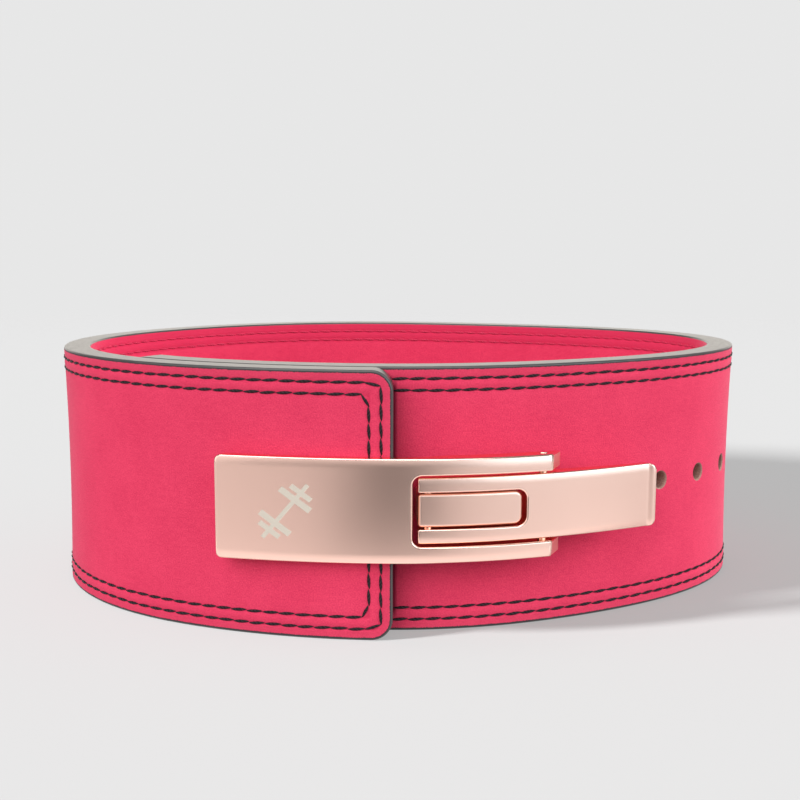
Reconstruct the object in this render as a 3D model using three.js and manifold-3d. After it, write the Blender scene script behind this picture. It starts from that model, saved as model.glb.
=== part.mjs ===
// A powerlifting belt with a lever buckle, fastened and standing on its lower edge.
//
// One thick leather strap goes once round and laps under itself at the front. A hook plate holds the outer
// end, the flap, and a lever joins it to a tongue that is screwed to the inner end. Sizes are in millimetres,
// Z is up, the front faces -Y, and the origin is the middle of the bounding box at the surface the belt
// stands on.
//
// Places on the belt are told as along, up and out: along is measured round the outer face of the ring from
// the middle of the front, towards +X first, up is the height, and out is the distance outwards from that face.

import * as THREE from "three";
import { mergeVertices } from "three/addons/utils/BufferGeometryUtils.js";
import Module from "manifold-3d";

const { degToRad, lerp, smoothstep } = THREE.MathUtils;

// Strap

const RING_WIDTH = 287;
const RING_DEPTH = 208;
const STRAP_WIDTH = 100;
const STRAP_THICKNESS = 10.9;
const EDGE_BEVEL = 1.2;
const CORNER_RADIUS = 8;
const EDGE_FLARE = 0.9; // how far the top and bottom edges stand out past the middle of the strap
const LAP_GAP = 0.5; // between the flap and the stretch under it
const LAP_LENGTH = 116; // what runs on under the flap, past the middle of the front
const FLAP_SHORTFALL = 4.6; // the flap ends this far before the middle of the front
const LAP_PARALLEL_TURN = degToRad(46); // the flap lies flat on the stretch under it this far
const LAP_MERGE_TURN = degToRad(126); // and has come down to the ring here

// The ring's plan: how far it reaches at each twelfth of a turn from the front towards +X, as a share of
// the ellipse with the ring's width and depth.
const PLAN_REACH = [0.97, 0.938, 0.942, 1.014, 1.024, 0.988, 1.032, 1.056, 1.006, 0.986, 0.988, 0.976];

// Holes for the tongue's screws

const HOLE_DIAMETER = 6.8;
const HOLE_PITCH = 25.4;
const SCREWS_MIDDLE = 22.3; // the middle between the two holes that the screws use
const HOLES_UNDER_FLAP = 3;
const HOLES_PAST_TONGUE = 6;

// Buckle

const BUCKLE_HEIGHT = 49.3; // its middle line
const SEAT_GAP = 0.3; // between metal and leather
const SLOT_CLEARANCE = 1.3; // between the lever and the arms of the fork
const TONGUE_CLEARANCE = 0.55;
const TONGUE_END_CLEARANCE = 1.3;
const PIN_CLEARANCE = 0.2;
const METAL_BEVEL = 0.7;

const PLATE_LEFT = 64.3; // from the middle of the front to the plate's left end
const PLATE_RIGHT = 56.3; // and to the back edge of the fork's ends
const PLATE_THICKNESS = 4.6;
const PLATE_LEFT_LIFT = 3; // how far its left end stands off, as the plate is less curved than the flap
const PLATE_SEAT_LENGTH = 10; // the plate lies on the flap this far left of the front
const PLATE_CORNER = 1.6;
const ARM_WIDTH = 5.85;
const ARM_DEPTH = 7.4; // the arms thicken backwards to hold the pin
const ARM_END_SLANT = 6.6;
const FORK_SLOT_START = 2;
const FORK_CORNER = 3.2;
const PRONG_DIAMETER = 5.4;
const PRONG_REACH = 8.6;
const PRONG_SPACING = 22;
const PRONG_INSET = 14; // from the plate's left end
const PRONG_HOLE_DIAMETER = 6.4;

const LEVER_WIDTH = 24.4;
const LEVER_RIGHT = 93.2; // its arms begin beside the tongue's left end
const LEVER_DROP = 0.9; // how far its face lies below the plate's
const LEVER_ROOT_DEPTH = 7;
const LEVER_TIP_DEPTH = 3.4;
const LEVER_CORNER = 2.8;
const LEVER_LIP_LENGTH = 5;
const LEVER_LIP_RISE = 0.9;

const TONGUE_WIDTH = 12.5;
const TONGUE_LENGTH = 35.8;
const TONGUE_SHIFT = 0.6; // its middle lies this far left of the middle between its screws
const TONGUE_DROP = 0.8; // how far its crown lies below the lever's face
const TONGUE_BEVEL = 1.3;
const TONGUE_CORNER = 3;

const LEVER_PIN_DIAMETER = 3.2;
const LEVER_PIN_INSET = 8.4; // from the back edge of the fork's ends, slant included
const LEVER_PIN_PROUD = 0.4;
const TONGUE_PIN_DIAMETER = 3;
const TONGUE_PIN_INSET = 3.6; // from the tongue's left end
const TONGUE_PIN_RECESS = 0.3;
const PIN_DEPTH = 3.4; // from the lever's face to the pins' axes

const SCREW_SHANK_DIAMETER = 4.6;
const SCREW_HEAD_DIAMETER = 12;
const SCREW_HEAD_HEIGHT = 2.2;
const SCREW_HEAD_BEVEL = 1.1;
const SCREW_REACH = 7; // into the tongue
const SCREW_CLEARANCE = 0.3;

const CUT_PAST = 1; // how far a cutter reaches past what it cuts

// Fineness of the facets

const STRAP_STEP = 7;
const METAL_STEP = 5;
const CORNER_FACETS = 5;
const ROUND_SIDES = 16;
const TRACK_SAMPLES = 1440;
const STRAP_ROWS = [0, 0.14, 0.32, 0.5, 0.68, 0.86, 1]; // shares of the strap's face, bottom to top

const SUEDE = { color: 0xe83f63, roughness: 0.95, metalness: 0 };
const ROSE_GOLD = { color: 0xdcb09f, roughness: 0.34, metalness: 1 };
const STEEL = { color: 0xb9b4b0, roughness: 0.3, metalness: 1 };

// Sizes that follow from the ones above

const flapRise = STRAP_THICKNESS + LAP_GAP;
const plateBack = flapRise + SEAT_GAP;
const plateFront = plateBack + PLATE_THICKNESS;
const plateWidth = LEVER_WIDTH + 2 * (SLOT_CLEARANCE + ARM_WIDTH);
const leverFront = plateFront - LEVER_DROP;
const tongueFront = leverFront - TONGUE_DROP;
const tongueStart = SCREWS_MIDDLE - TONGUE_SHIFT - TONGUE_LENGTH / 2;
const tongueEnd = tongueStart + TONGUE_LENGTH;
const leverStart = tongueStart;
const pinOut = leverFront - PIN_DEPTH;

const wasm = await Module();
wasm.setup();

/** The weight of one of count even readings in a smooth closed curve, at an angle away from it. */
function readingWeight(angle, count) {
  const half = Math.atan2(Math.sin(angle), Math.cos(angle)) / 2;
  if (Math.abs(half) < 1e-9) {
    return 1;
  }
  return Math.sin(count * half) / (count * Math.tan(half));
}

/** The point of the ring's outer face at a turn from the front, on the ground plan. */
function ringPoint(turn) {
  const ellipse = 1 / Math.hypot(Math.sin(turn) / (RING_WIDTH / 2), Math.cos(turn) / (RING_DEPTH / 2));
  const count = PLAN_REACH.length;
  let share = 0;
  PLAN_REACH.forEach((reading, index) => {
    share += reading * readingWeight(turn - (2 * Math.PI * index) / count, count);
  });
  return new THREE.Vector2(Math.sin(turn), -Math.cos(turn)).multiplyScalar(ellipse * share);
}

/** The outward direction of a plan curve at a turn. */
function outwardOf(curve, turn) {
  const small = 1e-4;
  const tangent = curve(turn + small).sub(curve(turn - small)).normalize();
  return new THREE.Vector2(tangent.y, -tangent.x);
}

/** How far outside the ring the strap's own outer face lies, at a turn that grows past the lap. */
function strapRise(turn) {
  const underFlap = turn < 0;
  const leftOfFront = underFlap ? -turn : 2 * Math.PI - turn;
  const raised = 1 - smoothstep(leftOfFront, LAP_PARALLEL_TURN, LAP_MERGE_TURN);
  return flapRise * (raised - (underFlap ? 1 : 0));
}

/** A line on the ground plan that runs round the belt, and the places beside it. */
class Track {
  constructor(rise, firstTurn, lastTurn) {
    this.curve = (turn) => ringPoint(turn).addScaledVector(outwardOf(ringPoint, turn), rise(turn));
    this.turns = [];
    this.lengths = [];
    let length = 0;
    let last = this.curve(firstTurn);
    for (let index = 0; index <= TRACK_SAMPLES; index += 1) {
      const turn = firstTurn + ((lastTurn - firstTurn) * index) / TRACK_SAMPLES;
      const point = this.curve(turn);
      length += point.distanceTo(last);
      last = point;
      this.turns.push(turn);
      this.lengths.push(length);
    }
    const front = this.lengthAt(0);
    this.lengths = this.lengths.map((value) => value - front);
  }

  /** The length run at a turn. */
  lengthAt(turn) {
    return Track.lookUp(this.turns, this.lengths, turn);
  }

  /** The turn at a length. */
  turnAt(along) {
    return Track.lookUp(this.lengths, this.turns, along);
  }

  /** The value of a rising table at a key, on the straight line between its two neighbours. */
  static lookUp(keys, values, key) {
    let low = 0;
    let high = keys.length - 1;
    while (high - low > 1) {
      const middle = (low + high) >> 1;
      if (keys[middle] > key) {
        high = middle;
      } else {
        low = middle;
      }
    }
    const share = (key - keys[low]) / (keys[high] - keys[low]);
    return lerp(values[low], values[high], share);
  }

  /** The outward direction at a length. */
  outward(along) {
    const direction = outwardOf(this.curve, this.turnAt(along));
    return new THREE.Vector3(direction.x, direction.y, 0);
  }

  /** The point at a length, a height and a distance out. */
  place(along, up, out) {
    const point = this.curve(this.turnAt(along));
    return new THREE.Vector3(point.x, point.y, up).addScaledVector(this.outward(along), out);
  }
}

/** How far a rounded corner cuts in from the long side, at a distance in from the end. */
function cornerCut(inward, radius) {
  if (inward >= radius) {
    return 0;
  }
  return radius - Math.sqrt(radius ** 2 - (radius - inward) ** 2);
}

/** Distances from one end of a slab at which it needs a section, out to the end of its rounded corner. */
function cornerStops(radius, bevel) {
  const stops = [0, bevel];
  for (let facet = 1; facet <= CORNER_FACETS; facet += 1) {
    const inward = radius * (1 - Math.cos((facet * Math.PI) / (2 * CORNER_FACETS)));
    if (inward > bevel * 1.05) {
      stops.push(inward);
    }
  }
  return stops;
}

/** The value of a size that may vary along a slab. */
function sizeAt(size, along) {
  return typeof size === "function" ? size(along) : size;
}

/**
 * A slab with rounded corners and bevelled edges, bent along a track.
 * back and front may be functions of the length, and lift a function of the length and the height.
 */
function bentSlab(track, slab) {
  const { start, end, low, high, back, front, bevel = 0, step = METAL_STEP } = slab;
  const { startCorner = bevel, endCorner = bevel, rows = [0, 1], lift = () => 0, slant = 0 } = slab;
  const startStops = cornerStops(startCorner, bevel);
  const endStops = cornerStops(endCorner, bevel);
  const startReach = startStops.at(-1);
  const straight = end - start - startReach - endStops.at(-1);
  const pieces = Math.max(1, Math.round(straight / step));
  const stations = startStops.map((inward) => start + inward);
  for (let piece = 1; piece < pieces; piece += 1) {
    stations.push(start + startReach + (straight * piece) / pieces);
  }
  endStops.reverse().forEach((inward) => stations.push(end - inward));

  const points = [];
  for (const along of stations) {
    const nearStart = along - start <= end - along;
    const inward = nearStart ? along - start : end - along;
    const radius = nearStart ? startCorner : endCorner;
    const edgeCut = cornerCut(inward, radius);
    const insetInward = Math.max(inward - bevel, 0);
    const faceCut = bevel + cornerCut(insetInward, radius - bevel);
    const sink = inward < bevel ? bevel - inward : 0;
    const outs = [sizeAt(back, along), sizeAt(front, along)];
    const section = [];
    for (const row of rows) {
      section.push([lerp(low + faceCut, high - faceCut, row), outs[1] - sink]);
    }
    section.push([high - edgeCut, outs[1] - bevel]);
    section.push([high - edgeCut, outs[0] + bevel]);
    for (const row of rows.toReversed()) {
      section.push([lerp(low + faceCut, high - faceCut, row), outs[0] + sink]);
    }
    section.push([low + edgeCut, outs[0] + bevel]);
    section.push([low + edgeCut, outs[1] - bevel]);
    const slantZone = Math.max(3 * slant, 1);
    const slantShare = slant * Math.max(0, 1 - (end - along) / slantZone);
    for (const [up, out] of section) {
      const forward = (out - outs[0]) / (outs[1] - outs[0]);
      points.push(track.place(along - slantShare * forward, up, out + lift(along, up)));
    }
  }
  return closedLoft(points, stations.length);
}

/** A closed body from rings of points, one ring for each station. */
function closedLoft(points, stations) {
  const ring = points.length / stations;
  const indices = [];
  for (let station = 0; station < stations - 1; station += 1) {
    for (let corner = 0; corner < ring; corner += 1) {
      const next = (corner + 1) % ring;
      const here = station * ring;
      indices.push(here + corner, here + ring + corner, here + next);
      indices.push(here + next, here + ring + corner, here + ring + next);
    }
  }
  for (const station of [0, stations - 1]) {
    const first = station * ring;
    for (const [a, b, c] of capTriangles(ring)) {
      const turned = station === 0 ? [a, b, c] : [a, c, b];
      indices.push(...turned.map((corner) => first + corner));
    }
  }
  const geometry = new THREE.BufferGeometry().setFromPoints(points);
  geometry.setIndex(indices);
  return withoutSlivers(geometry);
}

/** Triangles that close a flat ring, laced between its two long sides. */
function capTriangles(count) {
  const triangles = [];
  let left = 0;
  let right = count - 1;
  while (right - left > 1) {
    triangles.push([left, left + 1, right]);
    left += 1;
    if (right - left > 1) {
      triangles.push([left, right - 1, right]);
      right -= 1;
    }
  }
  return triangles;
}

/** The same body with shared corners merged and empty triangles left out. */
function withoutSlivers(geometry) {
  const merged = mergeVertices(geometry, 1e-4);
  const index = merged.getIndex().array;
  const kept = [];
  for (let triangle = 0; triangle < index.length; triangle += 3) {
    const [a, b, c] = index.slice(triangle, triangle + 3);
    if (a !== b && b !== c && c !== a) {
      kept.push(a, b, c);
    }
  }
  merged.setIndex(kept);
  return merged;
}

/** A solid for joining and cutting. */
function solidOf(geometry) {
  const bare = geometry.clone();
  bare.deleteAttribute("normal");
  bare.deleteAttribute("uv");
  const merged = withoutSlivers(bare);
  return new wasm.Manifold(
    new wasm.Mesh({
      numProp: 3,
      vertProperties: new Float32Array(merged.getAttribute("position").array),
      triVerts: new Uint32Array(merged.getIndex().array),
    }),
  );
}

/** The geometry of a solid. */
function geometryOf(solid) {
  const { vertProperties, triVerts } = solid.getMesh();
  const geometry = new THREE.BufferGeometry();
  geometry.setAttribute("position", new THREE.BufferAttribute(vertProperties, 3));
  geometry.setIndex(new THREE.BufferAttribute(triVerts, 1));
  geometry.computeVertexNormals();
  return geometry;
}

/** A cylinder between two points. */
function rod(from, to, diameter) {
  const direction = to.clone().sub(from);
  const geometry = new THREE.CylinderGeometry(diameter / 2, diameter / 2, direction.length(), ROUND_SIDES);
  const axis = direction.normalize();
  geometry.applyQuaternion(new THREE.Quaternion().setFromUnitVectors(new THREE.Vector3(0, 1, 0), axis));
  const middle = from.clone().lerp(to, 0.5);
  return geometry.translate(middle.x, middle.y, middle.z);
}

/** An upright cylinder at a place on the ring, from one height to another. */
function uprightRod(track, along, out, low, high, diameter) {
  return rod(track.place(along, low, out), track.place(along, high, out), diameter);
}

/** A named mesh with its own material. */
function piece(name, geometry, look) {
  const mesh = new THREE.Mesh(geometry, new THREE.MeshStandardMaterial(look));
  mesh.name = name;
  return mesh;
}

const ring = new Track(() => 0, -Math.PI, Math.PI * 2);
const strapTrack = new Track(strapRise, -Math.PI / 2, Math.PI * 2);

const screwPlaces = [SCREWS_MIDDLE - HOLE_PITCH / 2, SCREWS_MIDDLE + HOLE_PITCH / 2];
const plateStart = -PLATE_LEFT;
const plateEnd = PLATE_RIGHT;
const plateLow = BUCKLE_HEIGHT - plateWidth / 2;
const plateHigh = BUCKLE_HEIGHT + plateWidth / 2;
const leverPinAlong = plateEnd - LEVER_PIN_INSET;
const tonguePinAlong = tongueStart + TONGUE_PIN_INSET;
const prongs = [-1, 1].map((side) => ({
  along: plateStart + PRONG_INSET,
  up: BUCKLE_HEIGHT + (side * PRONG_SPACING) / 2,
}));

/** How far the hook plate stands off the flap at a length. */
function plateLift(along) {
  const share = Math.max(0, -along - PLATE_SEAT_LENGTH) / (PLATE_LEFT - PLATE_SEAT_LENGTH);
  return PLATE_LEFT_LIFT * share ** 2;
}

/** The strap: one spiral of leather with its row of holes and the two holes that the prongs hook into. */
function makeStrap() {
  const middle = STRAP_WIDTH / 2;
  let leather = solidOf(
    bentSlab(strapTrack, {
      start: -LAP_LENGTH,
      end: strapTrack.lengthAt(2 * Math.PI) - FLAP_SHORTFALL,
      low: 0,
      high: STRAP_WIDTH,
      back: -STRAP_THICKNESS,
      front: 0,
      bevel: EDGE_BEVEL,
      startCorner: CORNER_RADIUS,
      endCorner: CORNER_RADIUS,
      rows: STRAP_ROWS,
      step: STRAP_STEP,
      lift: (along, up) => EDGE_FLARE * ((up - middle) / middle) ** 2,
    }),
  );
  const spare = LAP_GAP / 2;
  for (let hole = -HOLES_UNDER_FLAP; hole < HOLES_PAST_TONGUE + screwPlaces.length; hole += 1) {
    const along = screwPlaces[0] + hole * HOLE_PITCH;
    const cutter = rod(
      strapTrack.place(along, middle, -STRAP_THICKNESS - CUT_PAST),
      strapTrack.place(along, middle, spare),
      HOLE_DIAMETER,
    );
    leather = leather.subtract(solidOf(cutter));
  }
  for (const { along, up } of prongs) {
    const cutter = rod(
      ring.place(along, up, flapRise - STRAP_THICKNESS - spare),
      ring.place(along, up, flapRise + CUT_PAST),
      PRONG_HOLE_DIAMETER,
    );
    leather = leather.subtract(solidOf(cutter));
  }
  return piece("strap", geometryOf(leather), SUEDE);
}

/** The hook plate: it holds the flap by two prongs, and its fork holds the lever. */
function makeHookPlate() {
  const forkBack = (along) => {
    const thickening = smoothstep(along, FORK_SLOT_START, FORK_SLOT_START + 2 * ARM_DEPTH);
    return plateFront - lerp(PLATE_THICKNESS, ARM_DEPTH, thickening);
  };
  let metal = solidOf(
    bentSlab(ring, {
      start: plateStart,
      end: plateEnd,
      low: plateLow,
      high: plateHigh,
      back: forkBack,
      front: plateFront,
      bevel: METAL_BEVEL,
      startCorner: PLATE_CORNER,
      lift: plateLift,
      slant: ARM_END_SLANT,
    }),
  );
  const slot = bentSlab(ring, {
    start: FORK_SLOT_START,
    end: plateEnd + ARM_END_SLANT,
    low: plateLow + ARM_WIDTH,
    high: plateHigh - ARM_WIDTH,
    back: plateFront - 2 * ARM_DEPTH,
    front: plateFront + CUT_PAST,
    startCorner: FORK_CORNER,
  });
  metal = metal.subtract(solidOf(slot));
  for (const { along, up } of prongs) {
    const prong = rod(
      ring.place(along, up, plateBack - PRONG_REACH),
      ring.place(along, up, plateBack + plateLift(along) + PLATE_THICKNESS / 2),
      PRONG_DIAMETER,
    );
    metal = metal.add(solidOf(prong));
  }
  const bore = LEVER_PIN_DIAMETER + 2 * PIN_CLEARANCE;
  const through = uprightRod(ring, leverPinAlong, pinOut, plateLow - CUT_PAST, plateHigh + CUT_PAST, bore);
  return piece("hook_plate", geometryOf(metal.subtract(solidOf(through))), ROSE_GOLD);
}

/** The lever: two arms beside the tongue, a body between the fork's arms, and a tip with a raised lip. */
function makeLever() {
  const low = BUCKLE_HEIGHT - LEVER_WIDTH / 2;
  const high = BUCKLE_HEIGHT + LEVER_WIDTH / 2;
  const taper = (along) => {
    const share = smoothstep(along, leverPinAlong, LEVER_RIGHT);
    return leverFront - lerp(LEVER_ROOT_DEPTH, LEVER_TIP_DEPTH, share);
  };
  let metal = solidOf(
    bentSlab(ring, {
      start: leverStart,
      end: LEVER_RIGHT,
      low,
      high,
      back: taper,
      front: leverFront,
      bevel: METAL_BEVEL,
      endCorner: LEVER_CORNER,
      lift: (along) => LEVER_LIP_RISE * smoothstep(along, LEVER_RIGHT - LEVER_LIP_LENGTH, LEVER_RIGHT),
    }),
  );
  const slot = bentSlab(ring, {
    start: leverStart - LEVER_CORNER,
    end: tongueEnd + TONGUE_END_CLEARANCE,
    low: BUCKLE_HEIGHT - TONGUE_WIDTH / 2 - TONGUE_CLEARANCE,
    high: BUCKLE_HEIGHT + TONGUE_WIDTH / 2 + TONGUE_CLEARANCE,
    back: leverFront - 2 * LEVER_ROOT_DEPTH,
    front: leverFront + CUT_PAST,
    endCorner: TONGUE_CORNER + TONGUE_CLEARANCE,
  });
  metal = metal.subtract(solidOf(slot));
  const bores = [
    [leverPinAlong, LEVER_PIN_DIAMETER],
    [tonguePinAlong, TONGUE_PIN_DIAMETER],
  ];
  for (const [along, diameter] of bores) {
    const bore = diameter + 2 * PIN_CLEARANCE;
    metal = metal.subtract(solidOf(uprightRod(ring, along, pinOut, low - CUT_PAST, high + CUT_PAST, bore)));
  }
  return piece("lever", geometryOf(metal), ROSE_GOLD);
}

/** The tongue: a block with a rounded face, screwed to the strap from inside. */
function makeTongue() {
  const low = BUCKLE_HEIGHT - TONGUE_WIDTH / 2;
  const high = BUCKLE_HEIGHT + TONGUE_WIDTH / 2;
  let metal = solidOf(
    bentSlab(ring, {
      start: tongueStart,
      end: tongueEnd,
      low,
      high,
      back: SEAT_GAP,
      front: tongueFront,
      bevel: TONGUE_BEVEL,
      startCorner: TONGUE_BEVEL,
      endCorner: TONGUE_CORNER,
    }),
  );
  const bore = TONGUE_PIN_DIAMETER + 2 * PIN_CLEARANCE;
  const through = uprightRod(ring, tonguePinAlong, pinOut, low - CUT_PAST, high + CUT_PAST, bore);
  metal = metal.subtract(solidOf(through));
  for (const along of screwPlaces) {
    const tapped = rod(
      ring.place(along, STRAP_WIDTH / 2, 0),
      ring.place(along, STRAP_WIDTH / 2, SCREW_REACH + SCREW_CLEARANCE),
      SCREW_SHANK_DIAMETER + 2 * SCREW_CLEARANCE,
    );
    metal = metal.subtract(solidOf(tapped));
  }
  return piece("mount_tongue", geometryOf(metal), ROSE_GOLD);
}

/** A plain upright pin, its middle at a place on the ring. */
function makePin(name, along, length, diameter) {
  const cylinder = new THREE.CylinderGeometry(diameter / 2, diameter / 2, length, ROUND_SIDES);
  const mesh = piece(name, cylinder, ROSE_GOLD);
  mesh.rotation.x = Math.PI / 2;
  mesh.position.copy(ring.place(along, BUCKLE_HEIGHT, pinOut));
  return mesh;
}

/** A screw through the strap from inside, its head on the leather and its shank in the tongue. */
function makeScrew(name, along) {
  const shank = SCREW_SHANK_DIAMETER / 2;
  const head = SCREW_HEAD_DIAMETER / 2;
  const underHead = -STRAP_THICKNESS - SEAT_GAP;
  const top = underHead - SCREW_HEAD_HEIGHT;
  const profile = [
    [0, top],
    [head - SCREW_HEAD_BEVEL, top],
    [head, top + SCREW_HEAD_BEVEL],
    [head, underHead],
    [shank, underHead],
    [shank, SCREW_REACH],
    [0, SCREW_REACH],
  ].map(([radius, out]) => new THREE.Vector2(radius, out));
  const mesh = piece(name, new THREE.LatheGeometry(profile, ROUND_SIDES), STEEL);
  mesh.quaternion.setFromUnitVectors(new THREE.Vector3(0, 1, 0), ring.outward(along));
  mesh.position.copy(ring.place(along, STRAP_WIDTH / 2, 0));
  return mesh;
}

const belt = new THREE.Group();
belt.add(makeStrap());
belt.add(makeHookPlate());
belt.add(makeLever());
belt.add(makeTongue());
belt.add(makePin("lever_pin", leverPinAlong, plateWidth + 2 * LEVER_PIN_PROUD, LEVER_PIN_DIAMETER));
belt.add(makePin("tongue_pin", tonguePinAlong, LEVER_WIDTH - 2 * TONGUE_PIN_RECESS, TONGUE_PIN_DIAMETER));
screwPlaces.forEach((along, index) => belt.add(makeScrew(`tongue_screw_${index + 1}`, along)));

// The origin goes to the middle of the bounding box, at the surface that the belt stands on

const bounds = new THREE.Box3().setFromObject(belt, true);
const centre = bounds.getCenter(new THREE.Vector3());
belt.position.set(-centre.x, -centre.y, -bounds.min.z);

export default belt;
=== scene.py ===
"""A powerlifting belt with a lever buckle, fastened and standing on its lower edge.

Every piece that follows the belt is modelled flat and in millimetres: X runs along the belt, -Y outwards and
Z up. Bending then wraps it round the belt's plan and brings it to metres.
"""

import logging
import math
from collections.abc import Callable, Iterable, Sequence
from dataclasses import dataclass, field
from enum import Enum

import bmesh
import bpy
import numpy as np
from mathutils import Matrix, Vector


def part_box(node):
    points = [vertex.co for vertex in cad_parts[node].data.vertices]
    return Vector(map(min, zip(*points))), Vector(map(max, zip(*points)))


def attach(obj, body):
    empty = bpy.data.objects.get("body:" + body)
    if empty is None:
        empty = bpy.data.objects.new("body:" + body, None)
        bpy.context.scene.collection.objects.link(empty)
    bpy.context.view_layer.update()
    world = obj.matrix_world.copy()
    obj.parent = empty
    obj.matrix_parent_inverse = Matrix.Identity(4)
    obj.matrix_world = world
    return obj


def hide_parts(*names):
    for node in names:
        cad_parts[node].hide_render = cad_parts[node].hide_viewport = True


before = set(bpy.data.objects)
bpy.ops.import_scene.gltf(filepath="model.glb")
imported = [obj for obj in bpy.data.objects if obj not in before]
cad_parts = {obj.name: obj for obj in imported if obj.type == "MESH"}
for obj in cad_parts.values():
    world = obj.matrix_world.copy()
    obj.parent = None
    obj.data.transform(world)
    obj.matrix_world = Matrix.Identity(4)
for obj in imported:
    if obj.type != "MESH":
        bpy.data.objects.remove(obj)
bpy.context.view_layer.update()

logging.basicConfig(level=logging.INFO, format="%(message)s")
log = logging.getLogger("belt")

MM = 0.001
BODY = "root"
FLAT = "flat"  # attribute: along, out and up in millimetres, before bending
RIM = "rim"  # attribute: millimetres in from the strap's outline
THREAD = "thread"  # attribute: place along a stitch, and across it, in millimetres
TOUCH = 1e-3  # points this close, in millimetres, count as level

Colour = tuple[float, float, float]
Place = tuple[float, float, float]


class Slot(Enum):
    """The record's material slots."""

    SUEDE = "suede_leather"
    STITCHING = "stitching"
    ROSE_GOLD = "rose_gold"
    STEEL = "screw_steel"


class Axis(Enum):
    """The directions of a flat piece, as places in a coordinate."""

    ALONG = 0
    DEPTH = 1
    UP = 2


class Reach(Enum):
    """What a lamp lights."""

    FLOOR = "the floor alone"
    BELT = "the belt alone"


class Route(Enum):
    """The lines that pieces follow round the belt."""

    RING = "the outer face of the ring, which the buckle follows"
    STRAP = "the strap's own outer face, which rises over the lap"


def smoothstep(value: np.ndarray | float, low: float, high: float) -> np.ndarray:
    """A smooth step from 0 to 1.

    Args:
        value: What is measured.
        low: Where the step begins.
        high: Where it ends.

    Returns:
        The step's height at each value.
    """
    share = np.clip((np.asarray(value, float) - low) / (high - low), 0.0, 1.0)
    return share * share * (3.0 - 2.0 * share)


# The belt's plan


@dataclass(frozen=True)
class BeltSizes:
    """The sizes that more than one piece depends on, in millimetres."""

    ring_width: float = 287.0
    ring_depth: float = 208.0
    # How far out the plan runs at twelve even turns from the front, as shares of the ellipse
    reach: tuple[float, ...] = (
        0.97, 0.938, 0.942, 1.014, 1.024, 0.988, 1.032, 1.056, 1.006, 0.986, 0.988, 0.976
    )
    strap_width: float = 100.0
    strap_thickness: float = 10.9
    lap_gap: float = 0.5
    lap_length: float = 116.0
    flap_shortfall: float = 4.6
    lap_parallel_turn: float = math.radians(46.0)
    lap_merge_turn: float = math.radians(126.0)
    hole_pitch: float = 25.4
    screws_middle: float = 22.3
    buckle_height: float = 49.3
    seat_gap: float = 0.3
    plate_thickness: float = 4.6
    lever_drop: float = 0.9
    tongue_drop: float = 0.8
    pin_depth: float = 3.4

    @property
    def flap_rise(self) -> float:
        """How far the flap's outer face lies outside the ring's."""
        return self.strap_thickness + self.lap_gap

    @property
    def plate_back(self) -> float:
        """The back of the hook plate, outwards from the ring."""
        return self.flap_rise + self.seat_gap

    @property
    def plate_front(self) -> float:
        """The face of the hook plate, outwards from the ring."""
        return self.plate_back + self.plate_thickness

    @property
    def lever_front(self) -> float:
        """The face of the lever, outwards from the ring."""
        return self.plate_front - self.lever_drop

    @property
    def tongue_front(self) -> float:
        """The crown of the tongue, outwards from the ring."""
        return self.lever_front - self.tongue_drop

    @property
    def pin_out(self) -> float:
        """The pins' axes, outwards from the ring."""
        return self.lever_front - self.pin_depth

    @property
    def screw_places(self) -> tuple[float, float]:
        """The two screws' places along the belt."""
        half = self.hole_pitch / 2.0
        return (self.screws_middle - half, self.screws_middle + half)


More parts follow.
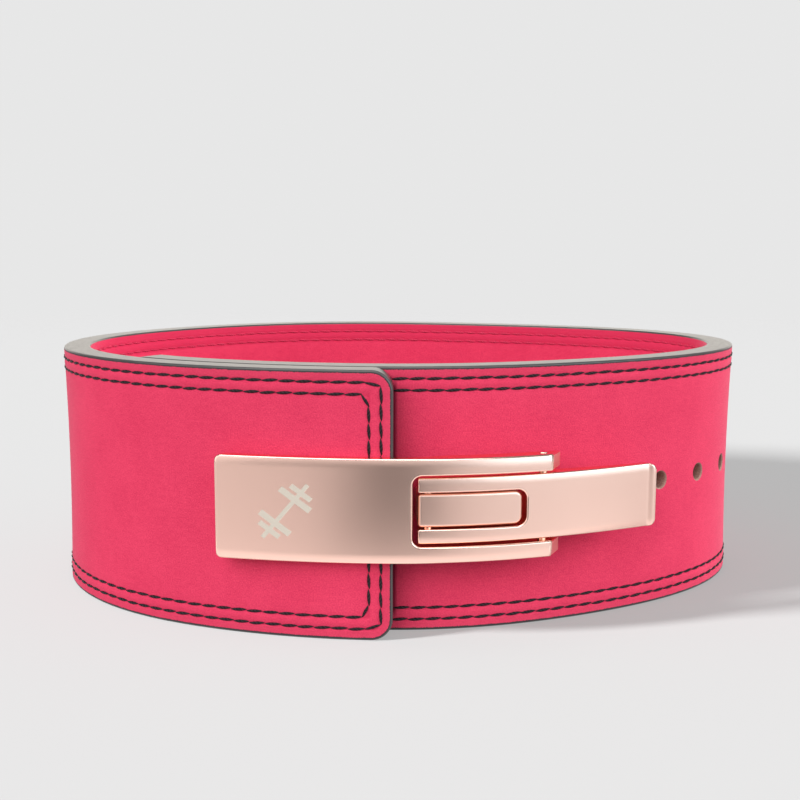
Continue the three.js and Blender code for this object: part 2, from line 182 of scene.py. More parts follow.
@dataclass
class BeltPath:
    """A line that runs round the belt, and the places beside it."""

    sizes: BeltSizes
    route: Route
    shift: np.ndarray = field(default_factory=lambda: np.zeros(3))
    samples: int = 7200

    def __post_init__(self) -> None:
        """Measures the line's length against its turns."""
        first = -math.pi if self.route is Route.RING else -math.pi / 2.0
        self.turns = np.linspace(first, 2.0 * math.pi, self.samples)
        steps = np.diff(self.line(self.turns), axis=0)
        lengths = np.concatenate([[0.0], np.cumsum(np.hypot(steps[:, 0], steps[:, 1]))])
        self.lengths = lengths - np.interp(0.0, self.turns, lengths)

    def ring(self, turn: np.ndarray) -> np.ndarray:
        """The outer face of the ring on the ground plan.

        Args:
            turn: Angles from the front, growing towards the right.

        Returns:
            One plan point for each turn.
        """
        sizes = self.sizes
        sine, cosine = np.sin(turn), np.cos(turn)
        ellipse = 1.0 / np.hypot(sine / (sizes.ring_width / 2.0), cosine / (sizes.ring_depth / 2.0))
        count = len(sizes.reach)
        share = np.zeros_like(turn)
        for index, reading in enumerate(sizes.reach):
            angle = turn - 2.0 * math.pi * index / count
            half = np.arctan2(np.sin(angle), np.cos(angle)) / 2.0
            at_reading = np.abs(half) < 1e-9
            safe = np.where(at_reading, 1.0, half)
            weight = np.sin(count * safe) / (count * np.tan(safe))
            share += reading * np.where(at_reading, 1.0, weight)
        return np.stack([sine, -cosine], axis=1) * (ellipse * share)[:, None]

    def rise(self, turn: np.ndarray) -> np.ndarray:
        """How far out of the ring this line runs.

        Args:
            turn: Angles from the front.

        Returns:
            The distance outwards at each turn.
        """
        if self.route is Route.RING:
            return np.zeros_like(turn)
        under_flap = turn < 0.0
        left_of_front = np.where(under_flap, -turn, 2.0 * math.pi - turn)
        raised = 1.0 - smoothstep(left_of_front, self.sizes.lap_parallel_turn, self.sizes.lap_merge_turn)
        return self.sizes.flap_rise * (raised - under_flap)

    @staticmethod
    def outward(curve: Callable[[np.ndarray], np.ndarray], turn: np.ndarray) -> np.ndarray:
        """The outward direction of a plan curve.

        Args:
            curve: Gives plan points for turns.
            turn: Where to look.

        Returns:
            One unit vector for each turn.
        """
        small = 1e-4
        tangent = curve(turn + small) - curve(turn - small)
        tangent /= np.linalg.norm(tangent, axis=1, keepdims=True)
        return np.stack([tangent[:, 1], -tangent[:, 0]], axis=1)

    def line(self, turn: np.ndarray) -> np.ndarray:
        """This line's plan points at turns from the front."""
        return self.ring(turn) + self.outward(self.ring, turn) * self.rise(turn)[:, None]

    def length_at(self, turn: float) -> float:
        """The length run from the middle of the front to a turn."""
        return float(np.interp(turn, self.turns, self.lengths))

    def place(self, along: np.ndarray, up: np.ndarray, out: np.ndarray) -> np.ndarray:
        """Points beside the line, in metres.

        Args:
            along: Lengths from the middle of the front.
            up: Heights.
            out: Distances outwards.

        Returns:
            One point for each place, in the frame of the whole belt.
        """
        turn = np.interp(along, self.lengths, self.turns)
        plan = self.line(turn) + self.outward(self.line, turn) * np.asarray(out)[:, None]
        return np.column_stack([plan, up]) * MM + self.shift

    def fit(self, low: Vector, high: Vector, first: float, last: float) -> None:
        """Moves the line's plan so that a stretch of it is centred on a box of the frame.

        Args:
            low: The box's lowest corner.
            high: Its highest corner.
            first: The length at which the stretch begins.
            last: The length at which it ends.
        """
        along = np.linspace(first, last, self.samples)
        points = self.place(along, np.zeros_like(along), np.zeros_like(along))
        middle = (points.min(axis=0) + points.max(axis=0)) / 2.0
        self.shift = np.array([(low.x + high.x) / 2.0 - middle[0], (low.y + high.y) / 2.0 - middle[1], 0.0])


# Modelling


def runs_through(first: Vector, second: Vector) -> bool:
    """Whether an edge runs from a piece's face to its back."""
    return abs(first.y - second.y) > 1.0


class Workpiece:
    """One object on the bench, modelled flat and in millimetres until it is bent."""

    def __init__(self, obj: bpy.types.Object) -> None:
        """Takes an object onto the bench."""
        self.obj = obj

    @staticmethod
    def clear_bench() -> None:
        """Leaves edit mode and selects nothing, so that an operator acts on the new piece alone."""
        if bpy.context.mode != "OBJECT":
            bpy.ops.object.mode_set(mode="OBJECT")
        bpy.ops.object.select_all(action="DESELECT")

    @classmethod
    def _take(cls, name: str) -> "Workpiece":
        """Names the primitive that was just added and puts its place into its mesh.

        Args:
            name: The piece's name.

        Returns:
            The piece.
        """
        obj = bpy.context.active_object
        obj.name = name
        obj.data.name = name
        bpy.ops.object.transform_apply(location=True, rotation=True, scale=True)
        return cls(obj)

    @classmethod
    def block(cls, name: str, low: Sequence[float], high: Sequence[float]) -> "Workpiece":
        """A block between two corners.

        Args:
            name: The piece's name.
            low: Along, depth and height of its lowest corner.
            high: The same of its highest corner.

        Returns:
            The new piece.
        """
        cls.clear_bench()
        middle = (Vector(low) + Vector(high)) / 2.0
        bpy.ops.mesh.primitive_cube_add(size=1.0, location=middle, scale=Vector(high) - Vector(low))
        return cls._take(name)

    @classmethod
    def rod(
        cls, name: str, start: Sequence[float], end: Sequence[float], radius: float, sides: int
    ) -> "Workpiece":
        """A round rod between two points.

        Args:
            name: The piece's name.
            start: The middle of its first end.
            end: The middle of its other end.
            radius: Its radius.
            sides: How many sides stand for the round.

        Returns:
            The new piece.
        """
        cls.clear_bench()
        axis = Vector(end) - Vector(start)
        turn = axis.to_track_quat("Z", "Y").to_euler()
        middle = (Vector(start) + Vector(end)) / 2.0
        bpy.ops.mesh.primitive_cylinder_add(
            vertices=sides, radius=radius, depth=axis.length, location=middle, rotation=turn
        )
        return cls._take(name)

    @classmethod
    def bead(cls, name: str, half: Sequence[float], segments: int, rings: int) -> "Workpiece":
        """A round bead with its poles along the belt.

        Args:
            name: The piece's name.
            half: Its half lengths along, through and up.
            segments: Sides round it.
            rings: Rings from pole to pole.

        Returns:
            The new piece.
        """
        cls.clear_bench()
        bpy.ops.mesh.primitive_uv_sphere_add(
            segments=segments, ring_count=rings, radius=1.0, rotation=(0.0, math.radians(90.0), 0.0)
        )
        piece = cls._take(name)
        piece.reshape(lambda flat: flat * np.array(half))
        return piece

    @classmethod
    def sheet(cls, name: str, place: Place, tilt: float, size: tuple[float, float]) -> "Workpiece":
        """A flat rectangle for the studio, in metres.

        Args:
            name: The piece's name.
            place: Its middle.
            tilt: Its turn out of level, in degrees.
            size: Its width and depth.

        Returns:
            The new piece.
        """
        cls.clear_bench()
        turn = (math.radians(tilt), 0.0, 0.0)
        bpy.ops.mesh.primitive_plane_add(size=1.0, location=place, rotation=turn)
        bpy.context.active_object.scale = (*size, 1.0)
        return cls._take(name)

    def activate(self) -> None:
        """Selects this piece alone and makes it active."""
        self.clear_bench()
        self.obj.select_set(True)
        bpy.context.view_layer.objects.active = self.obj

    def points(self) -> np.ndarray:
        """The mesh's points, one row each."""
        points = np.zeros(len(self.obj.data.vertices) * 3)
        self.obj.data.vertices.foreach_get("co", points)
        return points.reshape(-1, 3)

    def set_points(self, points: np.ndarray) -> None:
        """Moves the mesh's points."""
        self.obj.data.vertices.foreach_set("co", points.ravel())
        self.obj.data.update()

    def reshape(self, change: Callable[[np.ndarray], np.ndarray]) -> None:
        """Moves every point by a rule that takes and gives rows of along, depth and height."""
        self.set_points(change(self.points()))

    def _edit(self, kind: str) -> bmesh.types.BMesh:
        """Opens the mesh for work on its edges or faces, with none of them selected.

        Args:
            kind: EDGE or FACE.

        Returns:
            The open mesh.
        """
        self.activate()
        bpy.ops.object.mode_set(mode="EDIT")
        bpy.ops.mesh.select_mode(type=kind)
        bpy.ops.mesh.select_all(action="DESELECT")
        return bmesh.from_edit_mesh(self.obj.data)

    def bevel(self, chosen: Callable[[Vector, Vector], bool], width: float, segments: int) -> None:
        """Rounds the edges that a test picks.

        Args:
            chosen: Says for an edge's two ends whether it is rounded.
            width: The rounding's reach.
            segments: Its facets.
        """
        mesh = self._edit("EDGE")
        for edge in mesh.edges:
            edge.select_set(chosen(edge.verts[0].co, edge.verts[1].co))
        bmesh.update_edit_mesh(self.obj.data)
        bpy.ops.mesh.bevel(offset=width, segments=segments, affect="EDGES")
        bpy.ops.object.mode_set(mode="OBJECT")

    def draw_out(self, chosen: Callable[[Vector], bool], move: Sequence[float], scale: float) -> None:
        """Extrudes the faces that a test picks, moves them and scales them about their own middle.

        Args:
            chosen: Says for a face's middle whether it is drawn out.
            move: How far it goes.
            scale: How much it grows.
        """
        mesh = self._edit("FACE")
        middle = Vector()
        for face in mesh.faces:
            centre = face.calc_center_median()
            face.select_set(chosen(centre))
            if face.select:
                middle = centre + Vector(move)
        bmesh.update_edit_mesh(self.obj.data)
        bpy.ops.mesh.extrude_region_move(TRANSFORM_OT_translate={"value": move})
        bpy.ops.transform.resize(value=(scale, scale, scale), center_override=middle)
        bpy.ops.object.mode_set(mode="OBJECT")

    def slice(self, axis: Axis, stations: Iterable[float]) -> None:
        """Cuts new rows of points into the mesh where planes cross it.

        Args:
            axis: The direction that the planes face.
            stations: Their places on it.
        """
        normal = [0.0, 0.0, 0.0]
        normal[axis.value] = 1.0
        self.activate()
        bpy.ops.object.mode_set(mode="EDIT")
        for station in stations:
            place = [0.0, 0.0, 0.0]
            place[axis.value] = station
            bpy.ops.mesh.select_all(action="SELECT")
            bpy.ops.mesh.bisect(plane_co=place, plane_no=normal)
        bpy.ops.object.mode_set(mode="OBJECT")

    def _apply(self, kind: str, **settings: object) -> None:
        """Adds a modifier and applies it.

        Args:
            kind: The modifier's type.
            settings: Its settings, by name.
        """
        self.activate()
        modifier = self.obj.modifiers.new(kind.title(), kind)
        for name, value in settings.items():
            setattr(modifier, name, value)
        bpy.ops.object.modifier_apply(modifier=modifier.name)

    def _combine(self, other: "Workpiece", operation: str) -> None:
        """Combines another solid with this one, and clears it away."""
        self._apply("BOOLEAN", object=other.obj, operation=operation, solver="EXACT")
        bpy.data.objects.remove(other.obj)

    def cut(self, cutter: "Workpiece") -> None:
        """Takes a cutter out of this piece."""
        self._combine(cutter, "DIFFERENCE")

    def fuse(self, other: "Workpiece") -> None:
        """Joins another solid to this one."""
        self._combine(other, "UNION")

    def break_edges(self, width: float, segments: int = 4, angle: float = 25.0) -> None:
        """Bevels every sharp edge, in the piece's second material.

        Args:
            width: The bevel's width.
            segments: Its facets.
            angle: The least angle between faces, in degrees.
        """
        self._apply(
            "BEVEL",
            width=width,
            segments=segments,
            limit_method="ANGLE",
            angle_limit=math.radians(angle),
            material=1,
        )

    def note(self, name: str, kind: str, values: np.ndarray) -> None:
        """Writes an attribute on the points.

        Args:
            name: The attribute's name.
            kind: FLOAT or FLOAT_VECTOR.
            values: One row for each point.
        """
        attribute = self.obj.data.attributes.new(name, kind, "POINT")
        member = "value" if kind == "FLOAT" else "vector"
        attribute.data.foreach_set(member, np.asarray(values, np.float32).ravel())

    def note_flat(self) -> None:
        """Keeps along, out and up of every point for the materials."""
        points = self.points()
        self.note(FLAT, "FLOAT_VECTOR", np.column_stack([points[:, 0], -points[:, 1], points[:, 2]]))

    def bend(self, path: BeltPath) -> None:
        """Wraps the flat piece round the belt and brings it to metres."""
        points = self.points()
        self.set_points(path.place(points[:, 0], points[:, 2], -points[:, 1]))

    def smooth(self, angle: float = 34.0) -> None:
        """Shades the piece smooth, with flat faces kept flat.

        Args:
            angle: The angle over which an edge stays sharp, in degrees.
        """
        self.activate()
        bpy.ops.object.shade_smooth_by_angle(angle=math.radians(angle))
        self._apply("WEIGHTED_NORMAL", keep_sharp=True, weight=80)

    def dress(self, *materials: bpy.types.Material) -> None:
        """Gives the piece its materials, in the order of its material places."""
        for material in materials:
            self.obj.data.materials.append(material)

    def paint_faces(self, chosen: Callable[[Vector, Vector], int]) -> None:
        """Sets each face's material place by its middle and normal."""
        for face in self.obj.data.polygons:
            face.material_index = chosen(face.center, face.normal)

    def polish_walls(self) -> None:
        """Gives the faces that stand square to the belt's own face the piece's third material, a painted
        reflection.
        """
        for face in self.obj.data.polygons:
            if abs(face.normal.y) < 0.1:
                face.material_index = 2

    def hand_over(self, slot: Slot, *nodes: str) -> None:
        """Puts the finished piece into the frame.

        Args:
            slot: The record's material slot for the piece's finish; not used.
            nodes: The CAD nodes that it stands for.
        """
        self.clear_bench()
        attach(self.obj, BODY)
        if nodes:
            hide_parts(*nodes)
        log.info("%s: %d faces", self.obj.name, len(self.obj.data.polygons))


# Shaders


class Term:
    """A number in a shader; arithmetic on it adds Math nodes."""

    def __init__(self, shader: "Shader", socket: bpy.types.NodeSocket) -> None:
        """Wraps a socket of a shader."""
        self.shader = shader
        self.socket = socket

    def _math(
        self, operation: str, *others: "Term | float", swap: bool = False, clamp: bool = False
    ) -> "Term":
        """Adds one Math node.

        Args:
            operation: What it works out.
            others: Its other inputs.
            swap: Puts this term second.
            clamp: Keeps the result between 0 and 1.

        Returns:
            The node's result.
        """
        terms: list[Term | float] = [self, *others]
        if swap:
            terms.reverse()
        node = self.shader.node(
            "ShaderNodeMath", {"operation": operation, "use_clamp": clamp}, dict(enumerate(terms))
        )
        return Term(self.shader, node.outputs[0])

    def __add__(self, other: "Term | float") -> "Term":
        """This term plus another."""
        return self._math("ADD", other)

    __radd__ = __add__

    def __mul__(self, other: "Term | float") -> "Term":
        """This term times another."""
        return self._math("MULTIPLY", other)

    def __sub__(self, other: "Term | float") -> "Term":
        """This term less another."""
        return self._math("SUBTRACT", other)

    def __rsub__(self, other: "Term | float") -> "Term":
        """Another term less this one."""
        return self._math("SUBTRACT", other, swap=True)

    def __truediv__(self, other: "Term | float") -> "Term":
        """This term divided by another."""
        return self._math("DIVIDE", other)

    def __abs__(self) -> "Term":
        """This term without its sign."""
        return self._math("ABSOLUTE")

    def sine(self) -> "Term":
        """The sine of this term."""
        return self._math("SINE")

    def cosine(self) -> "Term":
        """The cosine of this term."""
        return self._math("COSINE")

    def most(self, other: "Term | float") -> "Term":
        """The greater of this term and another."""
        return self._math("MAXIMUM", other)

    def over(self, level: float, softness: float) -> "Term":
        """A mask where this term is over a level.

        Args:
            level: The value in the middle of the mask's edge.
            softness: How far the edge reaches.

        Returns:
            1 above the level and 0 below it.
        """
        return ((self - level) / softness)._math("ADD", 0.5, clamp=True)

    def under(self, level: float, softness: float) -> "Term":
        """A mask where this term is under a level, as over gives it."""
        return 1.0 - self.over(level, softness)


class Shader:
    """A material's node tree."""

    def __init__(self, name: str) -> None:
        """Starts a material with one Principled shader and its output.

        Args:
            name: The material's name.
        """
        self.material = bpy.data.materials.new(name)
        self.material.use_nodes = True
        self.tree = self.material.node_tree
        self.tree.nodes.clear()
        self.surface = self.node("ShaderNodeBsdfPrincipled")
        self.node("ShaderNodeOutputMaterial", inputs={"Surface": self.surface.outputs[0]})

    def node(
        self,
        kind: str,
        settings: dict[str, object] | None = None,
        inputs: dict[str | int, object] | None = None,
    ) -> bpy.types.Node:
        """Adds a node.

        Args:
            kind: The node's type.
            settings: Its own settings, which are set first.
            inputs: Values, terms or sockets for its inputs, by name or place.

        Returns:
            The new node.
        """
        node = self.tree.nodes.new(kind)
        for name, value in (settings or {}).items():
            setattr(node, name, value)
        for key, value in (inputs or {}).items():
            socket = value.socket if isinstance(value, Term) else value
            if isinstance(socket, bpy.types.NodeSocket):
                self.tree.links.new(socket, node.inputs[key])
            else:
                node.inputs[key].default_value = socket
        return node

    def attribute(self, name: str) -> bpy.types.Node:
        """A node that reads one of the mesh's own attributes."""
        return self.node("ShaderNodeAttribute", {"attribute_name": name, "attribute_type": "GEOMETRY"})

    def number(self, name: str) -> Term:
        """An attribute of one number."""
        return Term(self, self.attribute(name).outputs["Fac"])

    def axes(self, name: str) -> tuple[Term, Term, Term]:
        """The three numbers of a vector attribute."""
        parts = self.node("ShaderNodeSeparateXYZ", inputs={0: self.attribute(name).outputs["Vector"]})
        return tuple(Term(self, socket) for socket in parts.outputs)

    def noise(
        self, place: bpy.types.NodeSocket, size: float, detail: float = 2.0, stretch: float = 1.0
    ) -> Term:
        """Soft noise about 0.

        Args:
            place: The coordinates that it reads, in millimetres.
            size: The size of its grains, in millimetres.
            detail: How many finer layers it has.
            stretch: How much longer the grains are along the belt.

        Returns:
            About -0.5 to 0.5.
        """
        scaled = self.node(
            "ShaderNodeVectorMath",
            {"operation": "MULTIPLY"},
            {0: place, 1: (1.0 / (size * stretch), 1.0 / size, 1.0 / size)},
        )
        inputs = {"Vector": scaled.outputs[0], "Scale": 1.0, "Detail": detail}
        return Term(self, self.node("ShaderNodeTexNoise", None, inputs).outputs[0]) - 0.5

    def mix(
        self, share: Term, first: Sequence[float] | bpy.types.NodeSocket, second: Sequence[float]
    ) -> bpy.types.NodeSocket:
        """A colour between two.

        Args:
            share: How much of the second colour shows.
            first: The colour at 0.
            second: The colour at 1.

        Returns:
            The mixed colour.
        """
        start = first if isinstance(first, bpy.types.NodeSocket) else (*first, 1.0)
        node = self.node("ShaderNodeMix", {"data_type": "RGBA"}, {0: share, 6: start, 7: (*second, 1.0)})
        return node.outputs[2]

    def bump(self, height: Term) -> None:
        """Raises the surface by a height in millimetres."""
        node = self.node("ShaderNodeBump", None, {"Strength": 1.0, "Distance": MM, "Height": height})
        self.set({"Normal": node.outputs[0]})

    def set(self, inputs: dict[str, object]) -> None:
        """Sets or links inputs of the Principled shader."""
        for name, value in inputs.items():
            socket = value.socket if isinstance(value, Term) else value
            if isinstance(socket, bpy.types.NodeSocket):
                self.tree.links.new(socket, self.surface.inputs[name])
            else:
                self.surface.inputs[name].default_value = socket


# Finishes


@dataclass(frozen=True)
class Suede:
    """Pink suede with a fine nap, pressed and a little dull outside the stitches.

    Attributes:
        rows: How far in from the outline the rows of stitches lie.
        deep: The nap's darker colour.
        bright: Its lighter colour.
        dull: The pressed border outside the stitches.
        speck: Small dark specks.
        paint: What the edge paint leaves on the border.
        flap_shadow: A painted shadow: the dark colour laid on the suede at the flap's foot, where the flap
            shades the strap.
        foot: Where the flap's foot lies along the belt.
        inner_depth: How far out the inside of the ring ends.
    """

    rows: tuple[float, float]
    deep: Colour = (0.53, 0.020, 0.070)
    bright: Colour = (0.81, 0.064, 0.140)
    dull: Colour = (0.53, 0.050, 0.10)
    speck: Colour = (0.30, 0.010, 0.040)
    paint: Colour = (0.045, 0.042, 0.045)
    flap_shadow: Colour = (0.16, 0.003, 0.022)
    foot: float = -4.7
    inner_depth: float = -5.0

    def material(self) -> bpy.types.Material:
        """Makes the suede's material."""
        shader = Shader("suede")
        place = shader.attribute(FLAT).outputs["Vector"]
        along, out, _ = shader.axes(FLAT)
        rim = shader.number(RIM)
        grain = shader.noise(place, 0.55, 3.0)
        nap = shader.noise(place, 1.7, 3.0, 1.8)
        cloud = shader.noise(place, 17.0, 3.0)
        light = 0.55 + grain * 1.15 + nap * 0.4 + cloud * 0.4
        colour = shader.mix(light, self.deep, self.bright)
        specks = shader.noise(place, 0.8, 1.0).over(0.27, 0.06)
        colour = shader.mix(specks * 0.6, colour, self.speck)
        colour = shader.mix(rim.under(3.6, 1.2) * 0.3, colour, self.dull)
        # Painted shade: the suede is darker along each row of stitches, in its groove.
        for row in self.rows:
            colour = shader.mix(abs(rim - row).under(0.55, 0.5) * 0.4, colour, self.deep)
        # The inner face is darker, and darker still within 10 mm of its outline.
        inside = out.under(self.inner_depth, 0.5)
        colour = shader.mix(inside * (rim.under(10.0, 0.8) * 0.35 + 0.3), colour, self.deep)
        # Painted shadow: a narrow dark band on the suede beside the flap's end, where the flap shades the
        # strap below it.
        beside_flap = abs(along - self.foot).under(1.5, 1.2)
        under_flap = beside_flap * (1.0 - inside) * rim.over(6.0, 4.0)
        colour = shader.mix(under_flap * 0.92, colour, self.flap_shadow)
        ragged = rim + grain * 0.7 + nap * 0.4 + inside * 0.5
        colour = shader.mix(ragged.under(1.15, 0.15), colour, self.paint)
        shader.set({
            "Base Color": colour,
            "Roughness": 0.92,
            "Specular IOR Level": 0.12,
            "Sheen Weight": 0.4,
            "Sheen Roughness": 0.32,
            "Sheen Tint": (1.0, 0.55, 0.66, 1.0),
        })
        shader.bump(grain * 0.12 + nap * 0.07 + shader.noise(place, 0.28, 1.0) * 0.05)
        return shader.material


@dataclass(frozen=True)
class EdgePaint:
    """Dark grey paint, rubbed smooth over the strap's edges."""

    colour: Colour = (0.03, 0.029, 0.03)
    worn: Colour = (0.055, 0.052, 0.05)

    def material(self) -> bpy.types.Material:
        """Makes the edge paint's material."""
        shader = Shader("edge_paint")
        place = shader.attribute(FLAT).outputs["Vector"]
        streak = shader.noise(place, 1.1, 3.0, 6.0)
        grain = shader.noise(place, 0.5, 2.0)
        shader.set({
            "Base Color": shader.mix(0.5 + streak * 1.2, self.colour, self.worn),
            "Roughness": 0.33 + streak * 0.14 + grain * 0.08,
            "Specular IOR Level": 0.75,
        })
        shader.bump(streak * 0.05 + grain * 0.018)
        return shader.material


@dataclass(frozen=True)
class RawLeather:
    """The brown cut grain of the leather inside a punched hole."""

    dark: Colour = (0.20, 0.075, 0.057)
    light: Colour = (0.50, 0.32, 0.265)

    def material(self) -> bpy.types.Material:
        """Makes the raw leather's material."""
        shader = Shader("raw_leather")
        place = shader.attribute(FLAT).outputs["Vector"]
        fibre = shader.noise(place, 0.5, 4.0, 2.0)
        shader.set({
            "Base Color": shader.mix(0.55 + fibre * 1.3, self.dark, self.light),
            "Roughness": 0.85,
            "Specular IOR Level": 0.2,
        })
        shader.bump(fibre * 0.12)
        return shader.material


@dataclass(frozen=True)
class Thread:
    """Waxed thread, twisted from two plies."""

    name: str
    dark: Colour
    light: Colour
    twist: float = 4.2  # radians for each millimetre
    radius: float = 0.5

    def material(self) -> bpy.types.Material:
        """Makes the thread's material."""
        shader = Shader(self.name)
        along, across, through = shader.axes(THREAD)
        across = across / self.radius
        through = through / self.radius
        turn = along * self.twist
        ply = turn.sine() * (across * across - through * through) + turn.cosine() * (across * through) * 2.0
        fuzz = shader.noise(shader.attribute(THREAD).outputs["Vector"], 0.2, 2.0, 3.0)
        shader.set({
            "Base Color": shader.mix(0.45 + ply * 0.4 + fuzz * 0.6, self.dark, self.light),
            "Roughness": 0.45,
            "Specular IOR Level": 0.2,
        })
        shader.bump(ply * 0.09 + fuzz * 0.05)
        return shader.material


@dataclass(frozen=True)
class Barbell:
    """A plain barbell sign: a bar and two pairs of discs, as boxes of place, half length and half height."""

    along: float = -40.0
    up: float = 48.8
    tilt: float = math.radians(52.0)
    bar: tuple[float, float] = (12.6, 0.75)
    discs: tuple[tuple[float, float, float], ...] = ((5.6, 1.15, 6.4), (8.8, 0.95, 4.3))
    softness: float = 0.16

    def mask(self, along: Term, up: Term) -> Term:
        """Where the sign shows.

        Args:
            along: The place along the belt.
            up: The height.

        Returns:
            1 on the sign and 0 beside it.
        """
        x = along - self.along
        z = up - self.up
        across = abs(x * math.cos(self.tilt) + z * math.sin(self.tilt))
        height = abs(z * math.cos(self.tilt) - x * math.sin(self.tilt))
        sign = across.under(self.bar[0], self.softness) * height.under(self.bar[1], self.softness)
        for place, half_length, half_height in self.discs:
            disc = abs(across - place).under(half_length, self.softness)
            sign = sign.most(disc * height.under(half_height, self.softness))
        return sign


@dataclass(frozen=True)
class RoseGold:
    """Rose gold plating over steel: satin on the faces and polished on the broken edges."""

    colour: Colour = (0.92, 0.61, 0.515)
    polished: Colour = (0.97, 0.66, 0.56)
    # Painted reflection: the sides' deeper orange stands for the plating mirroring itself.
    painted_reflection: Colour = (0.98, 0.52, 0.34)
    etched: Colour = (0.60, 0.54, 0.46)
    satin: float = 0.34
    polish: float = 0.16
    wall_polish: float = 0.22

    def _plating(self, name: str, colour: Colour, roughness: float) -> tuple[Shader, Term]:
        """Starts a plated material.

        Args:
            name: The material's name.
            colour: The plating's colour.
            roughness: Its middle roughness.

        Returns:
            The shader, and its fine blasted grain.
        """
        shader = Shader(name)
        place = shader.attribute(FLAT).outputs["Vector"]
        grain = shader.noise(place, 0.16, 1.0)
        haze = shader.noise(place, 9.0, 3.0)
        shader.set({
            "Base Color": (*colour, 1.0),
            "Metallic": 1.0,
            "Roughness": roughness + haze * (0.15 * roughness) + grain * 0.03,
        })
        return shader, grain

    def face(self) -> bpy.types.Material:
        """The satin finish."""
        shader, grain = self._plating("satin_rose_gold", self.colour, self.satin)
        shader.bump(grain * 0.004)
        return shader.material

    def edge(self) -> bpy.types.Material:
        """The polished finish."""
        shader, _ = self._plating("polished_rose_gold", self.polished, self.polish)
        return shader.material

    def wall(self) -> bpy.types.Material:
        """The sides, with a painted reflection: a deeper colour that stands for the plating mirroring itself.
        """
        shader, _ = self._plating("painted_reflection_rose_gold", self.painted_reflection, self.wall_polish)
        return shader.material

    def marked_face(self, sign: Barbell, front: float) -> bpy.types.Material:
        """The satin finish with a pale etched sign.

        Args:
            sign: What is etched.
            front: How far out the sign's face lies.

        Returns:
            The material.
        """
        shader, grain = self._plating("etched_rose_gold", self.colour, self.satin)
        along, out, up = shader.axes(FLAT)
        mask = sign.mask(along, up) * out.over(front - 1.0, 0.2)
        shader.set({
            "Base Color": shader.mix(mask, self.colour, self.etched),
            "Roughness": mask * 0.28 + self.satin,
            "Metallic": 1.0 - mask * 0.75,
        })
        shader.bump(grain * 0.004 - mask * 0.03)
        return shader.material


@dataclass(frozen=True)
class Steel:
    """Plain satin steel with fine turning marks."""

    colour: Colour = (0.56, 0.55, 0.54)

    def material(self) -> bpy.types.Material:
        """Makes the steel's material."""
        shader = Shader("satin_steel")
        place = shader.attribute(FLAT).outputs["Vector"]
        grain = shader.noise(place, 0.3, 3.0)
        shader.set({
            "Base Color": (*self.colour, 1.0),
            "Metallic": 1.0,
            "Roughness": 0.28 + grain * 0.12,
        })
        shader.bump(grain * 0.006)
        return shader.material


# The strap


